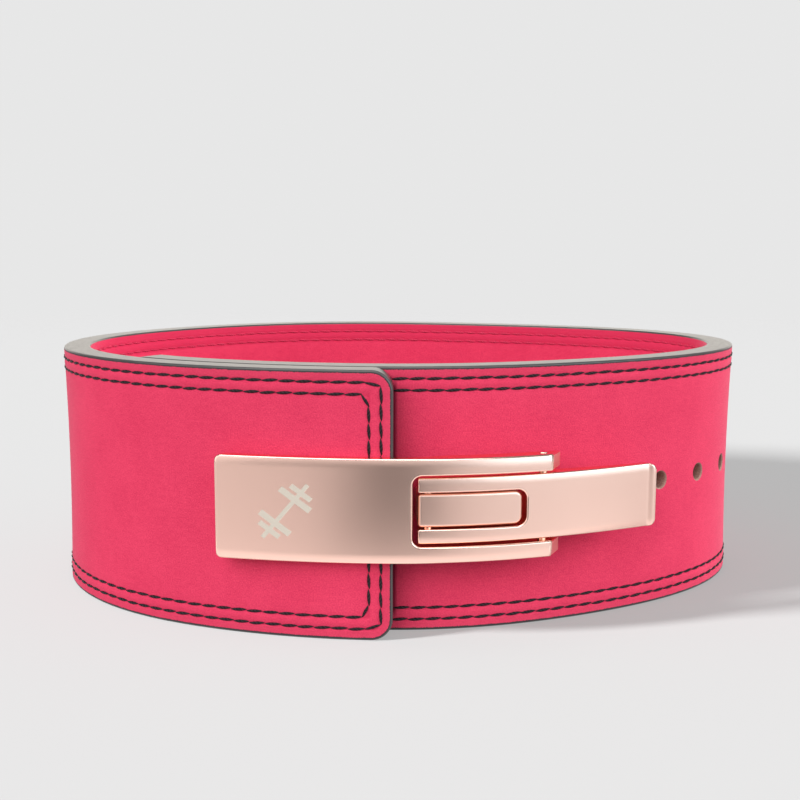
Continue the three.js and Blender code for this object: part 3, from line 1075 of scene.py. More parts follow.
@dataclass
class Strap:
    """The leather: one spiral with painted edges and a row of punched holes."""

    sizes: BeltSizes
    path: BeltPath
    corner_radius: float = 8.0
    edge_radius: float = 1.0
    edge_facets: int = 5
    flare: float = 0.9
    hole_radius: float = 3.4
    rim_round: float = 0.45
    holes_under_flap: int = 3
    holes_past_tongue: int = 6
    step: float = 3.6
    fine_step: float = 0.9
    stitch_rows: tuple[float, float] = (4.4, 8.8)
    border_rows: tuple[float, float] = (1.9, 2.9)
    face_rows: tuple[float, ...] = (13.0, 21.0, 31.0, 41.0)
    groove_half: float = 0.8
    groove_depth: float = 0.28
    pillow: float = 0.16

    @property
    def start(self) -> float:
        """Where the strap's inner end lies along the belt."""
        return -self.sizes.lap_length

    @property
    def end(self) -> float:
        """Where the flap ends along the strap."""
        return self.path.length_at(2.0 * math.pi) - self.sizes.flap_shortfall

    def inset(self, points: np.ndarray) -> np.ndarray:
        """How far in from the strap's outline points lie on its face.

        Args:
            points: Rows of along, depth and height.

        Returns:
            One distance for each point.
        """
        half = np.array([(self.end - self.start) / 2.0, self.sizes.strap_width / 2.0])
        middle = np.array([(self.end + self.start) / 2.0, self.sizes.strap_width / 2.0])
        beyond = np.abs(points[:, [0, 2]] - middle) - (half - self.corner_radius)
        outside = np.linalg.norm(np.maximum(beyond, 0.0), axis=1)
        return self.corner_radius - outside - np.minimum(beyond.max(axis=1), 0.0)

    def _stations(self) -> list[float]:
        """Where the strap is cut along its length: close at its ends and even between them."""
        reach = self.stitch_rows[1] + 4.0
        close = np.arange(self.fine_step, reach, self.fine_step)
        inner = np.arange(self.start + reach, self.end - reach, self.step)
        return [*(self.start + close), *inner, *(self.end - close)]

    def _rows(self) -> list[float]:
        """Where the strap is cut across its width: at the grooves and evenly between them."""
        edge = [*self.border_rows, sum(self.stitch_rows) / 2.0, *self.face_rows]
        for row in self.stitch_rows:
            edge += [row - self.groove_half, row, row + self.groove_half]
        width = self.sizes.strap_width
        return sorted([*edge, *(width - row for row in edge), width / 2.0])

    def _hole_cutter(self, name: str, along: float, up: float, radius: float) -> Workpiece:
        """A cutter for one hole, flared where it meets the faces.

        Args:
            name: The cutter's name.
            along: The hole's place along the belt.
            up: Its height.
            radius: Its radius.

        Returns:
            The cutter.
        """
        back = self.sizes.strap_thickness
        front_ring = self.rim_round
        back_ring = back - self.rim_round
        cutter = Workpiece.rod(name, (along, front_ring, up), (along, back_ring, up), radius, 32)
        flare = (radius + 2.0 * self.rim_round) / radius
        reach = 2.0 * self.rim_round
        cutter.draw_out(lambda centre: centre.y < front_ring + TOUCH, (0.0, -reach, 0.0), flare)
        cutter.draw_out(lambda centre: centre.y > back_ring - TOUCH, (0.0, reach, 0.0), flare)
        return cutter

    def _flat(self) -> Workpiece:
        """The strap laid out flat, with its holes."""
        sizes = self.sizes
        thickness = sizes.strap_thickness
        strap = Workpiece.block(
            "strap_leather", (self.start, 0.0, 0.0), (self.end, thickness, sizes.strap_width)
        )
        strap.dress(Suede(self.stitch_rows).material(), EdgePaint().material(), RawLeather().material())
        strap.bevel(runs_through, self.corner_radius, 10)
        strap.bevel(lambda a, b: abs(a.y - b.y) < TOUCH, self.edge_radius, self.edge_facets)
        first = sizes.screw_places[0]
        middle = sizes.strap_width / 2.0
        for index in range(-self.holes_under_flap, self.holes_past_tongue + 2):
            place = first + index * sizes.hole_pitch
            strap.cut(self._hole_cutter("punch", place, middle, self.hole_radius))
        return strap

    def _paint(self, middle: Vector, normal: Vector) -> int:
        """Picks the finish of a flat face.

        Args:
            middle: The face's middle.
            normal: Its normal.

        Returns:
            0 for suede, 1 for edge paint and 2 for raw leather.
        """
        if abs(normal.y) > 0.9:
            return 0
        inset = float(self.inset(np.array([[middle.x, middle.y, middle.z]]))[0])
        return 1 if inset < self.edge_radius + 0.1 else 2

    def flared(self, points: np.ndarray) -> np.ndarray:
        """Moves points outwards as the strap flares towards its edges.

        Args:
            points: Rows of along, depth and height.

        Returns:
            The same points, moved.
        """
        middle = self.sizes.strap_width / 2.0
        moved = points.copy()
        moved[:, 1] -= self.flare * ((points[:, 2] - middle) / middle) ** 2
        return moved

    def _press(self, points: np.ndarray) -> np.ndarray:
        """Presses the stitch grooves into the faces and lets the strap's edges flare.

        Args:
            points: Rows of along, depth and height.

        Returns:
            The same points, moved.
        """
        inset = self.inset(points)
        depth = np.zeros(len(points))
        for row in self.stitch_rows:
            depth += self.groove_depth * np.clip(1.0 - np.abs(inset - row) / self.groove_half, 0.0, 1.0)
        between = np.clip(1.0 - np.abs(inset - sum(self.stitch_rows) / 2.0) / 1.2, 0.0, 1.0)
        depth -= self.pillow * between
        thickness = self.sizes.strap_thickness
        facing = np.where(points[:, 1] < thickness / 2.0, 1.0, -1.0)
        on_face = np.minimum(points[:, 1], thickness - points[:, 1]) < 0.02
        moved = self.flared(points)
        moved[:, 1] += depth * facing * on_face
        return moved

    def build(self) -> None:
        """Models the strap, bends it and dresses it."""
        strap = self._flat()
        strap.slice(Axis.UP, self._rows())
        strap.slice(Axis.ALONG, self._stations())
        strap.paint_faces(self._paint)
        strap.note_flat()
        strap.note(RIM, "FLOAT", self.inset(strap.points()))
        strap.reshape(self._press)
        strap.bend(self.path)
        strap.smooth(40.0)
        strap.hand_over(Slot.SUEDE, "strap")


@dataclass
class Stitching:
    """Two rows of stitches round the strap, on each of its faces."""

    strap: Strap
    pitch: float = 6.3
    half_length: float = 3.3
    half_width: float = 0.6
    half_height: float = 0.5
    taper: float = 0.2
    sink: float = 0.12
    slant: float = math.radians(3.4)
    slant_spread: float = 0.012
    place_spread: float = 0.05
    corner_cuts: tuple[tuple[float, float], ...] = ((5.8, 1.5), (2.5, 4.4))
    segments: int = 8
    rings: int = 8
    seed: int = 5
    outside: Thread = Thread("black_thread", (0.002, 0.001, 0.002), (0.03, 0.02, 0.025))
    inside: Thread = Thread("crimson_thread", (0.38, 0.014, 0.05), (0.66, 0.035, 0.1))

    def _needle_points(self, inset: float, cut: tuple[float, float]) -> np.ndarray:
        """Where the needle went in, for one row.

        Args:
            inset: The row's distance from the strap's outline.
            cut: How far it cuts off a corner, along the belt and up.

        Returns:
            Rows of along and up, round the strap and back to the first.
        """
        low = np.array([self.strap.start + inset, inset])
        high = np.array([self.strap.end - inset, self.strap.sizes.strap_width - inset])
        corners = []
        for right, top in ((1, 0), (1, 1), (0, 1), (0, 0)):
            corner = np.array([high[0] if right else low[0], high[1] if top else low[1]])
            beside = corner + np.array([-cut[0] if right else cut[0], 0.0])
            above = corner + np.array([0.0, -cut[1] if top else cut[1]])
            corners += [beside, above] if right != top else [above, beside]
        points = []
        for start, end in zip(corners, corners[1:] + corners[:1]):
            count = max(1, round(float(np.linalg.norm(end - start)) / self.pitch))
            points += [start + (end - start) * step / count for step in range(count)]
        return np.array([*points, corners[0]])

    def _stitches(self, name: str, sign: float) -> Workpiece:
        """All stitches on one face, flat.

        Args:
            name: The piece's name.
            sign: -1 for the outer face and 1 for the inner one.

        Returns:
            The stitches as one piece.
        """
        half = (self.half_length, self.half_height, self.half_width)
        bead = Workpiece.bead("stitch", half, self.segments, self.rings)
        shape = bead.points()
        arch = 1.0 - (shape[:, 0] / self.half_length) ** 2
        shape[:, 1:] *= (np.maximum(arch, 0.0) ** self.taper)[:, None]
        faces = [tuple(face.vertices) for face in bead.obj.data.polygons]
        bpy.data.objects.remove(bead.obj)
        surface = 0.0 if sign < 0.0 else self.strap.sizes.strap_thickness
        chance = np.random.default_rng(self.seed)
        points, all_faces, threads = [], [], []
        for inset, cut in zip(self.strap.stitch_rows, self.corner_cuts):
            needle = self._needle_points(inset, cut)
            for start, end in zip(needle[:-1], needle[1:]):
                span = end - start
                length = float(np.linalg.norm(span))
                lean = self.slant + chance.normal(0.0, self.slant_spread)
                angle = math.atan2(span[1], span[0]) + lean
                stretch = length / self.pitch * chance.uniform(0.97, 1.02)
                middle = (start + end) / 2.0 + chance.normal(0.0, self.place_spread, 2)
                local = shape * np.array([stretch, 1.0, 1.0])
                along = middle[0] + local[:, 0] * math.cos(angle) - local[:, 2] * math.sin(angle)
                up = middle[1] + local[:, 0] * math.sin(angle) + local[:, 2] * math.cos(angle)
                depth = surface + local[:, 1] - sign * self.sink * (1.5 - arch)
                base = sum(len(part) for part in points)
                points.append(np.column_stack([along, depth, up]))
                threads.append(shape[:, [0, 2, 1]] + np.array([chance.uniform(0.0, 9.0), 0.0, 0.0]))
                all_faces += [tuple(base + corner for corner in face) for face in faces]
        mesh = bpy.data.meshes.new(name)
        mesh.from_pydata(np.concatenate(points).tolist(), [], all_faces)
        obj = bpy.data.objects.new(name, mesh)
        bpy.context.scene.collection.objects.link(obj)
        piece = Workpiece(obj)
        piece.note(THREAD, "FLOAT_VECTOR", np.concatenate(threads))
        return piece

    def build(self) -> None:
        """Makes both faces' stitches, bends them with the strap and dresses them."""
        faces = (("stitching_outside", -1.0, self.outside), ("stitching_inside", 1.0, self.inside))
        for name, sign, thread in faces:
            piece = self._stitches(name, sign)
            piece.reshape(self.strap.flared)
            piece.bend(self.strap.path)
            piece.activate()
            bpy.ops.object.shade_smooth()
            piece.dress(thread.material())
            piece.hand_over(Slot.STITCHING)


# The buckle


@dataclass(frozen=True)
class Crown:
    """How a metal face falls away towards its long edges."""

    zone: float = 3.2
    depth: float = 0.42
    rows: int = 6

    def fall(self, inward: np.ndarray) -> np.ndarray:
        """How far the face has fallen at distances in from its edge."""
        return self.depth * np.clip(1.0 - inward / self.zone, 0.0, 1.0) ** 2

    def stations(self, low: float, high: float) -> list[float]:
        """The heights at which a face needs a row of points.

        Args:
            low: Its lower edge's height.
            high: Its upper edge's height.

        Returns:
            The heights between them.
        """
        inward = np.linspace(0.0, self.zone, self.rows + 1)[1:]
        between = np.linspace(low + self.zone, high - self.zone, self.rows)[1:-1]
        return [*(low + inward), *between, *(high - inward[::-1])]


@dataclass
class HookPlate:
    """The plate on the flap, with its fork and its two prongs."""

    sizes: BeltSizes
    path: BeltPath
    left: float = 64.3
    right: float = 56.3
    width: float = 38.7
    corner: float = 1.9
    left_lift: float = 3.0
    seat_length: float = 10.0
    arm_width: float = 6.3
    arm_depth: float = 7.4
    end_slant: float = 6.6
    slot_start: float = 2.0
    slot_overrun: float = 9.0
    slot_corner: float = 3.2
    edge: float = 0.7
    crown: Crown = Crown(4.0, 0.6)
    prong_radius: float = 2.7
    prong_reach: float = 8.6
    prong_round: float = 0.6
    prong_spacing: float = 22.0
    prong_inset: float = 14.0
    step: float = 1.8

    def lift(self, along: np.ndarray) -> np.ndarray:
        """How far the plate stands off the flap at places along the belt."""
        share = np.maximum(0.0, -along - self.seat_length) / (self.left - self.seat_length)
        return self.left_lift * share**2

    def _slant(self, points: np.ndarray) -> np.ndarray:
        """Slants the ends of the arms back from the face.

        Args:
            points: Rows of along, depth and height.

        Returns:
            The same points, moved.
        """
        moved = points.copy()
        at_end = (points[:, 0] > self.right - TOUCH) & (points[:, 1] < TOUCH - self.sizes.plate_front)
        moved[at_end, 0] -= self.end_slant
        return moved

    def _shape(self, points: np.ndarray) -> np.ndarray:
        """Thickens the arms backwards, crowns the face and lifts the plate's left end.

        Args:
            points: Rows of along, depth and height.

        Returns:
            The same points, moved.
        """
        sizes = self.sizes
        moved = points.copy()
        share = np.clip((-points[:, 1] - sizes.plate_back) / sizes.plate_thickness, None, 1.0)
        thick = smoothstep(points[:, 0], self.slot_start, self.slot_start + 2.0 * self.arm_depth)
        behind = np.clip(1.0 - share, 0.0, 1.0)
        moved[:, 1] += behind * thick * (self.arm_depth - sizes.plate_thickness)
        inward = self.width / 2.0 - np.abs(points[:, 2] - sizes.buckle_height)
        moved[:, 1] += self.crown.fall(inward) * np.clip(share, 0.0, 1.0)
        moved[:, 1] -= self.lift(points[:, 0])
        return moved

    def build(self, finish: RoseGold) -> None:
        """Models the plate, bends it and dresses it.

        Args:
            finish: The metal's finishes.
        """
        sizes = self.sizes
        low = sizes.buckle_height - self.width / 2.0
        high = sizes.buckle_height + self.width / 2.0
        front, back = -sizes.plate_front, -sizes.plate_back
        plate = Workpiece.block("hook_plate_body", (-self.left, front, low), (self.right, back, high))
        plate.dress(finish.marked_face(Barbell(), sizes.plate_front), finish.edge(), finish.wall())
        slot = Workpiece.block(
            "slot",
            (self.slot_start, front - 1.0, low + self.arm_width),
            (self.right + self.slot_overrun, back + 1.0, high - self.arm_width),
        )
        slot.bevel(lambda a, b: runs_through(a, b) and a.x < self.slot_start + TOUCH, self.slot_corner, 8)
        plate.cut(slot)
        plate.bevel(lambda a, b: runs_through(a, b) and a.x < -self.left + TOUCH, self.corner, 6)
        plate.reshape(self._slant)
        plate.break_edges(self.edge)
        plate.polish_walls()
        for side in (-1.0, 1.0):
            along = -self.left + self.prong_inset
            up = sizes.buckle_height + side * self.prong_spacing / 2.0
            lift = float(self.lift(np.array([along]))[0])
            tip = back + self.prong_reach + lift
            root = back - sizes.plate_thickness / 2.0
            prong = Workpiece.rod("prong", (along, root, up), (along, tip, up), self.prong_radius, 24)
            prong.bevel(lambda a, b: min(a.y, b.y) > tip - TOUCH, self.prong_round, 3)
            plate.fuse(prong)
        plate.slice(Axis.ALONG, np.arange(-self.left + self.step, self.right, self.step))
        plate.slice(Axis.UP, self.crown.stations(low, high))
        plate.note_flat()
        plate.reshape(self._shape)
        plate.bend(self.path)
        plate.smooth()
        plate.hand_over(Slot.ROSE_GOLD, "hook_plate")


@dataclass
class Lever:
    """The lever: arms beside the tongue, a body between the fork's arms and a lipped tip."""

    sizes: BeltSizes
    path: BeltPath
    start: float = 3.8
    right: float = 93.2
    width: float = 24.4
    root_depth: float = 7.0
    tip_depth: float = 3.4
    corner: float = 2.8
    lip_length: float = 3.3
    lip_flat: float = 1.0
    lip_rise: float = 1.2
    pin_along: float = 47.9
    slot_end: float = 40.9
    slot_half: float = 6.8
    slot_corner: float = 3.55
    edge: float = 0.6
    crown: Crown = Crown(3.2, 0.46)
    step: float = 1.8

    def _shape(self, points: np.ndarray) -> np.ndarray:
        """Tapers the back, crowns the face and raises the lip.

        Args:
            points: Rows of along, depth and height.

        Returns:
            The same points, moved.
        """
        moved = points.copy()
        share = (-points[:, 1] - (self.sizes.lever_front - self.root_depth)) / self.root_depth
        thin = smoothstep(points[:, 0], self.pin_along, self.right) * (self.root_depth - self.tip_depth)
        moved[:, 1] -= (1.0 - share) * thin
        inward = self.width / 2.0 - np.abs(points[:, 2] - self.sizes.buckle_height)
        moved[:, 1] += self.crown.fall(inward) * share
        lip = smoothstep(points[:, 0], self.right - self.lip_length, self.right - self.lip_flat)
        moved[:, 1] -= self.lip_rise * lip
        return moved

    def build(self, finish: RoseGold) -> None:
        """Models the lever, bends it and dresses it.

        Args:
            finish: The metal's finishes.
        """
        middle = self.sizes.buckle_height
        front = -self.sizes.lever_front
        back = front + self.root_depth
        low, high = middle - self.width / 2.0, middle + self.width / 2.0
        lever = Workpiece.block("lever_body", (self.start, front, low), (self.right, back, high))
        lever.dress(finish.face(), finish.edge(), finish.wall())
        slot = Workpiece.block(
            "slot",
            (self.start - 3.0, front - 1.0, middle - self.slot_half),
            (self.slot_end, back + 1.0, middle + self.slot_half),
        )
        slot.bevel(lambda a, b: runs_through(a, b) and a.x > self.slot_end - TOUCH, self.slot_corner, 8)
        lever.cut(slot)
        lever.bevel(lambda a, b: runs_through(a, b) and a.x > self.right - TOUCH, self.corner, 8)
        lever.break_edges(self.edge)
        lever.polish_walls()
        lever.slice(Axis.ALONG, np.arange(self.start + self.step, self.right - self.lip_length, self.step))
        lever.slice(Axis.ALONG, np.linspace(self.right - self.lip_length, self.right, 10)[:-1])
        lever.slice(Axis.UP, self.crown.stations(low, high))
        lever.note_flat()
        lever.reshape(self._shape)
        lever.bend(self.path)
        lever.smooth()
        lever.hand_over(Slot.ROSE_GOLD, "lever")


@dataclass
class Tongue:
    """The block in the lever's slot, with a pillowed face."""

    sizes: BeltSizes
    path: BeltPath
    length: float = 35.8
    shift: float = 0.6
    width: float = 12.5
    pillow: float = 1.3
    corner: float = 2.9
    left_corner: float = 1.3
    bore_radius: float = 2.6
    bore_depth: float = 7.3
    step: float = 1.8

    @property
    def start(self) -> float:
        """The tongue's left end along the belt."""
        return self.sizes.screws_middle - self.shift - self.length / 2.0

    def build(self, finish: RoseGold) -> None:
        """Models the tongue, bends it and dresses it.

        Args:
            finish: The metal's finishes.
        """
        sizes = self.sizes
        end = self.start + self.length
        low = sizes.buckle_height - self.width / 2.0
        high = sizes.buckle_height + self.width / 2.0
        front, back = -sizes.tongue_front, -sizes.seat_gap
        tongue = Workpiece.block("mount_tongue_body", (self.start, front, low), (end, back, high))
        tongue.dress(finish.face())
        tongue.bevel(lambda a, b: runs_through(a, b) and a.x > end - TOUCH, self.corner, 8)
        tongue.bevel(lambda a, b: runs_through(a, b) and a.x < self.start + TOUCH, self.left_corner, 5)
        tongue.bevel(lambda a, b: max(a.y, b.y) < front + TOUCH, self.pillow, 6)
        middle = sizes.strap_width / 2.0
        for along in sizes.screw_places:
            mouth, bottom = (along, back + 1.0, middle), (along, -self.bore_depth, middle)
            tongue.cut(Workpiece.rod("bore", mouth, bottom, self.bore_radius, 24))
        tongue.slice(Axis.ALONG, np.arange(self.start + self.step, end, self.step))
        tongue.note_flat()
        tongue.bend(self.path)
        tongue.smooth()
        tongue.hand_over(Slot.ROSE_GOLD, "mount_tongue")


@dataclass
class Pins:
    """The upright pins through the fork and through the tongue, with domed ends."""

    sizes: BeltSizes
    path: BeltPath
    lever_pin: tuple[float, float, float] = (47.9, 39.5, 1.6)
    tongue_pin: tuple[float, float, float] = (7.3, 23.8, 1.5)
    dome: float = 0.55

    def build(self, finish: RoseGold) -> None:
        """Models both pins and dresses them.

        Args:
            finish: The metal's finishes.
        """
        material = finish.edge()
        for name, (along, length, radius) in (("lever_pin", self.lever_pin), ("tongue_pin", self.tongue_pin)):
            low = self.sizes.buckle_height - length / 2.0
            high = self.sizes.buckle_height + length / 2.0
            depth = -self.sizes.pin_out
            pin = Workpiece.rod(f"{name}_body", (along, depth, low), (along, depth, high), radius, 32)
            pin.bevel(lambda a, b: abs(a.z - b.z) < TOUCH, self.dome, 4)
            pin.note_flat()
            pin.bend(self.path)
            pin.smooth(50.0)
            pin.dress(material)
            pin.hand_over(Slot.ROSE_GOLD, name)


@dataclass
class Screws:
    """The two screws from inside the ring into the tongue, with plain slotted heads."""

    sizes: BeltSizes
    path: BeltPath
    shank_radius: float = 2.3
    head_radius: float = 6.0
    head_height: float = 2.2
    head_round: float = 1.1
    reach: float = 7.0
    slot_width: float = 1.4
    slot_depth: float = 0.9

    def build(self) -> None:
        """Models both screws and dresses them."""
        sizes = self.sizes
        up = sizes.strap_width / 2.0
        under_head = sizes.strap_thickness + sizes.seat_gap
        top = under_head + self.head_height
        material = Steel().material()
        for number, along in enumerate(sizes.screw_places, start=1):
            screw = Workpiece.rod(
                f"tongue_screw_{number}_body", (along, under_head, up), (along, top, up), self.head_radius, 40
            )
            screw.bevel(lambda a, b: min(a.y, b.y) > top - TOUCH, self.head_round, 5)
            screw.dress(material)
            tip, root = (along, -self.reach, up), (along, under_head + 0.5, up)
            screw.fuse(Workpiece.rod("shank", tip, root, self.shank_radius, 24))
            half = self.slot_width / 2.0
            slot = Workpiece.block(
                "slot",
                (along - self.head_radius, top - self.slot_depth, up - half),
                (along + self.head_radius, top + 1.0, up + half),
            )
            screw.cut(slot)
            screw.note_flat()
            screw.bend(self.path)
            screw.smooth()
            screw.hand_over(Slot.STEEL, f"tongue_screw_{number}")


# The studio


def hang_lamp(light: bpy.types.Light, floor: bpy.types.Object, reach: Reach) -> bpy.types.Object:
    """Puts a lamp into the scene and keeps its light off the floor or off the belt.

    Args:
        light: The lamp's light.
        floor: The floor.
        reach: What the lamp lights.

    Returns:
        The lamp.
    """
    lamp = bpy.data.objects.new(light.name, light)
    bpy.context.scene.collection.objects.link(lamp)
    lit = bpy.data.collections.new(f"{lamp.name}_reach")
    lit.objects.link(floor)
    state = "INCLUDE" if reach is Reach.FLOOR else "EXCLUDE"
    lit.collection_objects[0].light_linking.link_state = state
    lamp.light_linking.receiver_collection = lit
    return lamp


@dataclass(frozen=True)
class Lamp:
    """A bright card that is seen in reflections alone.

    Attributes:
        name: The lamp's name.
        place: Where it hangs, in metres.
        aim: What it points at.
        size: Its width and height.
        radiance: How bright its face is.
        tint: Its colour.
    """

    name: str
    place: Place
    aim: Place
    size: tuple[float, float]
    radiance: float
    tint: Colour = (1.0, 1.0, 1.0)

    def hang(self, floor: bpy.types.Object) -> None:
        """Puts the card into the scene, where the floor doesn't show it.

        Args:
            floor: The floor.
        """
        light = bpy.data.lights.new(self.name, "AREA")
        light.color = self.tint
        light.shape = "RECTANGLE"
        light.size, light.size_y = self.size
        light.energy = self.radiance * math.pi * self.size[0] * self.size[1]
        lamp = hang_lamp(light, floor, Reach.BELT)
        lamp.location = self.place
        lamp.rotation_euler = (Vector(self.place) - Vector(self.aim)).to_track_quat("Z", "Y").to_euler()
        lamp.visible_camera = False
        lamp.visible_diffuse = False


@dataclass(frozen=True)
class FarLight:
    """Soft light on the belt from far away, equally strong everywhere.

    Attributes:
        name: The lamp's name.
        azimuth: Where it stands, in degrees to the right of the camera's side.
        elevation: How high it stands, in degrees.
        strength: Its irradiance over pi, face on.
        spread: How wide it looks, in degrees.
    """

    name: str
    azimuth: float
    elevation: float
    strength: float
    spread: float

    def hang(self, floor: bpy.types.Object) -> None:
        """Puts the lamp into the scene.

        Args:
            floor: The floor.
        """
        light = bpy.data.lights.new(self.name, "SUN")
        light.energy = self.strength * math.pi
        light.angle = math.radians(self.spread)
        lamp = hang_lamp(light, floor, Reach.BELT)
        azimuth, elevation = math.radians(self.azimuth), math.radians(self.elevation)
        level = math.cos(elevation)
        towards = Vector((math.sin(azimuth) * level, -math.cos(azimuth) * level, math.sin(elevation)))
        lamp.rotation_euler = towards.to_track_quat("Z", "Y").to_euler()
        lamp.visible_glossy = False


@dataclass(frozen=True)
class KeyLight:
    """A small near lamp that throws the shadow, as strong far away as near, so that the floor stays even."""

    place: Place = (-0.52, -0.28, 0.35)
    radius: float = 0.045
    strength: float = 184.0

    def hang(self, floor: bpy.types.Object) -> None:
        """Puts the lamp into the scene.

        Args:
            floor: The floor.
        """
        light = bpy.data.lights.new("key", "POINT")
        light.shadow_soft_size = self.radius
        light.energy = 1.0
        light.use_nodes = True
        tree = light.node_tree
        emission = next(node for node in tree.nodes if node.type == "EMISSION")
        falloff = tree.nodes.new("ShaderNodeLightFalloff")
        falloff.inputs["Strength"].default_value = self.strength
        distance = tree.nodes.new("ShaderNodeLightPath")
        even = tree.nodes.new("ShaderNodeMath")
        even.operation = "MULTIPLY"
        tree.links.new(falloff.outputs["Constant"], even.inputs[0])
        tree.links.new(distance.outputs["Ray Length"], even.inputs[1])
        tree.links.new(even.outputs[0], emission.inputs["Strength"])
        lamp = hang_lamp(light, floor, Reach.FLOOR)
        lamp.location = self.place
        lamp.visible_camera = False


@dataclass(frozen=True)
class Flag:
    """A dark grey card in front of the buckle, seen in reflections alone.

    Attributes:
        name: The card's name.
        place: Its middle, in metres.
        tilt: Its turn out of level, in degrees.
        size: Its width and depth.
    """

    name: str
    place: Place
    tilt: float
    size: tuple[float, float]

    def hang(self, material: bpy.types.Material) -> None:
        """Puts the card into the scene.

        Args:
            material: The card's dark grey.
        """
        card = Workpiece.sheet(self.name, self.place, self.tilt, self.size)
        card.dress(material)
        card.obj.visible_camera = False
        card.obj.visible_diffuse = False
        card.obj.visible_shadow = False


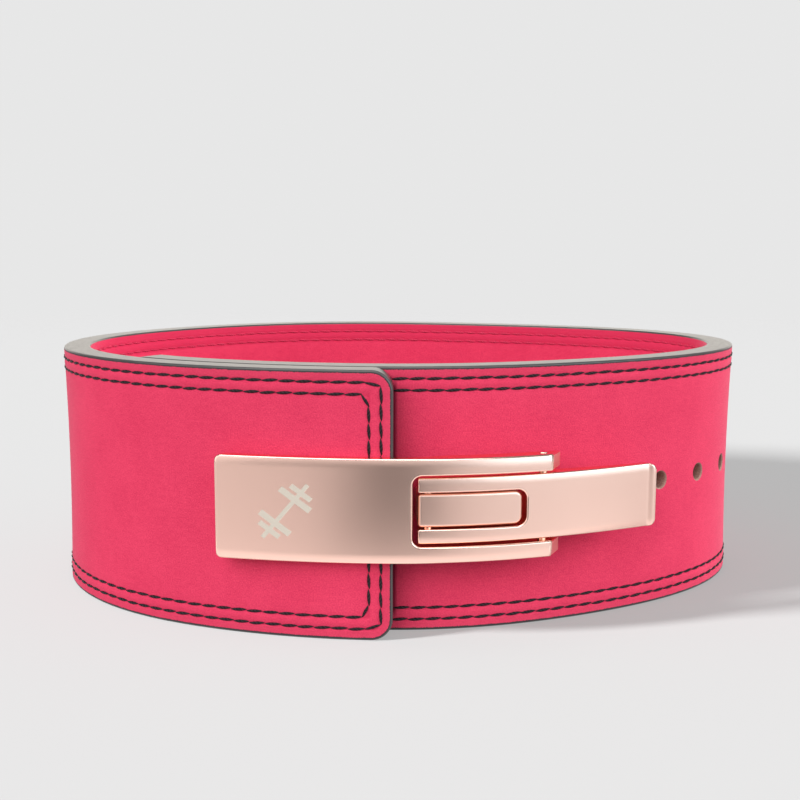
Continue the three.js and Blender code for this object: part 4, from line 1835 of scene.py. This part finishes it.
@dataclass(frozen=True)
class Studio:
    """A plain pale floor, soft light and the camera."""

    floor_colour: float = 0.20
    floor_glow: float = 0.37
    floor_side: float = 4.0
    floor_reach: tuple[float, float] = (1.2, 0.8)
    background: float = 0.80
    ambient: tuple[float, float] = (0.30, 0.58)
    horizon: float = 0.2
    mirrored: float = 0.25
    lamps: tuple[Lamp | FarLight | KeyLight, ...] = (
        KeyLight(),
        FarLight("left_fill", -42.0, 35.0, 0.95, 60.0),
        FarLight("right_fill", 75.0, 20.0, 0.72, 40.0),
        FarLight("rim_fill", 115.0, 18.0, 0.45, 30.0),
        FarLight("back_fill", 175.0, 32.0, 0.60, 60.0),
        Lamp("right_card", (0.75, -0.62, 0.42), (0.0, -0.1, 0.05), (1.0, 0.8), 2.0, (0.83, 1.08, 1.19)),
        Lamp("left_card", (-0.8, -0.6, 0.42), (0.0, -0.1, 0.05), (0.8, 0.8), 1.2),
        Lamp("top_card", (-0.1, -0.35, 0.9), (-0.02, -0.1, 0.05), (0.9, 0.5), 3.2),
        Lamp("high_card", (-0.05, -0.78, 0.42), (-0.02, -0.13, 0.05), (0.9, 0.4), 0.85),
        Lamp("low_card", (0.0, -0.145, 0.002), (0.0, -0.145, 1.0), (0.4, 0.05), 0.45),
        Lamp("rim_card", (0.0, 1.6, 0.42), (0.0, 0.0, 0.1), (3.2, 0.8), 1.45, (1.0, 0.93, 0.84)),
    )
    flags: tuple[Flag, ...] = (
        Flag("upright_flag", (0.0, -0.5, 0.06), 90.0, (0.18, 0.12)),
        Flag("lying_flag", (0.0, -0.375, 0.001), 0.0, (0.125, 0.29)),
    )
    flag_grey: float = 0.03
    focal_length: float = 53.64
    pitch: float = math.radians(8.27)
    roll: float = math.radians(0.1865)
    camera_place: Place = (-0.00152, -0.5292, 0.15043)

    def _floor(self) -> bpy.types.Object:
        """Lays the floor, which glows a little and fades into the background far out.

        Returns:
            The floor.
        """
        sheet = Workpiece.sheet("floor", (0.0, 0.0, 0.0), 0.0, (self.floor_side, self.floor_side))
        shader = Shader("pale_floor")
        place = shader.node("ShaderNodeTexCoord").outputs["Object"]
        length = shader.node("ShaderNodeVectorMath", {"operation": "LENGTH"}, {0: place})
        away = Term(shader, length.outputs["Value"])
        shader.set({
            "Base Color": (self.floor_colour, self.floor_colour, self.floor_colour, 1.0),
            "Roughness": 1.0,
            "Specular IOR Level": 0.0,
            "Emission Color": (1.0, 1.0, 1.0, 1.0),
            "Emission Strength": self.floor_glow,
            "Alpha": away.under(*self.floor_reach),
        })
        sheet.dress(shader.material)
        sheet.obj.visible_diffuse = False
        return sheet.obj

    def _hang_flags(self) -> None:
        """Hangs the dark cards, all in one material."""
        shader = Shader("dark_card")
        grey = (self.flag_grey, self.flag_grey, self.flag_grey, 1.0)
        shader.set({"Base Color": grey, "Roughness": 1.0, "Specular IOR Level": 0.0})
        for flag in self.flags:
            flag.hang(shader.material)

    def _world(self) -> None:
        """Sets the even light from all round, and the plain background that the camera sees."""
        world = bpy.data.worlds.new("studio")
        world.use_nodes = True
        tree = world.node_tree
        tree.nodes.clear()
        path = tree.nodes.new("ShaderNodeLightPath")
        towards = tree.nodes.new("ShaderNodeSeparateXYZ")
        tree.links.new(tree.nodes.new("ShaderNodeTexCoord").outputs["Generated"], towards.inputs[0])
        height = tree.nodes.new("ShaderNodeMapRange")
        height.inputs["From Min"].default_value = -self.horizon
        height.inputs["From Max"].default_value = self.horizon
        height.inputs["To Min"].default_value = self.ambient[0]
        height.inputs["To Max"].default_value = self.ambient[1]
        tree.links.new(towards.outputs["Z"], height.inputs["Value"])
        lighting = tree.nodes.new("ShaderNodeMix")
        tree.links.new(height.outputs[0], lighting.inputs[2])
        lighting.inputs[3].default_value = self.mirrored
        tree.links.new(path.outputs["Is Glossy Ray"], lighting.inputs[0])
        strength = tree.nodes.new("ShaderNodeMix")
        strength.inputs[3].default_value = self.background
        tree.links.new(lighting.outputs[0], strength.inputs[2])
        light = tree.nodes.new("ShaderNodeBackground")
        output = tree.nodes.new("ShaderNodeOutputWorld")
        light.inputs["Color"].default_value = (1.0, 1.0, 1.0, 1.0)
        tree.links.new(path.outputs["Is Camera Ray"], strength.inputs[0])
        tree.links.new(strength.outputs[0], light.inputs["Strength"])
        tree.links.new(light.outputs[0], output.inputs[0])
        bpy.context.scene.world = world

    def _camera(self) -> None:
        """Sets the camera at the photograph's angle."""
        data = bpy.data.cameras.new("camera")
        data.sensor_width = 36.0
        data.lens = self.focal_length
        data.clip_start = 0.01
        data.clip_end = 200.0
        camera = bpy.data.objects.new("camera", data)
        bpy.context.scene.collection.objects.link(camera)
        turn = Matrix.Rotation(math.radians(90.0) - self.pitch, 3, "X") @ Matrix.Rotation(self.roll, 3, "Z")
        camera.rotation_euler = turn.to_euler()
        camera.location = self.camera_place
        bpy.context.scene.camera = camera

    def build(self) -> None:
        """Sets up the whole studio."""
        floor = self._floor()
        self._hang_flags()
        self._world()
        for lamp in self.lamps:
            lamp.hang(floor)
        self._camera()
        bpy.context.scene.view_settings.view_transform = "Standard"
        log.info("studio: %d lamps", len(self.lamps))


def main() -> None:
    """Builds the belt and its studio in order."""
    sizes = BeltSizes()
    strap_path = BeltPath(sizes, Route.STRAP)
    strap = Strap(sizes, strap_path)
    strap_path.fit(*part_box("strap"), strap.start, strap.end)
    ring_path = BeltPath(sizes, Route.RING, strap_path.shift)
    finish = RoseGold()
    Studio().build()
    strap.build()
    Stitching(strap).build()
    HookPlate(sizes, ring_path).build(finish)
    Lever(sizes, ring_path).build(finish)
    Tongue(sizes, ring_path).build(finish)
    Pins(sizes, ring_path).build(finish)
    Screws(sizes, ring_path).build()


if __name__ == "__main__":
    main()
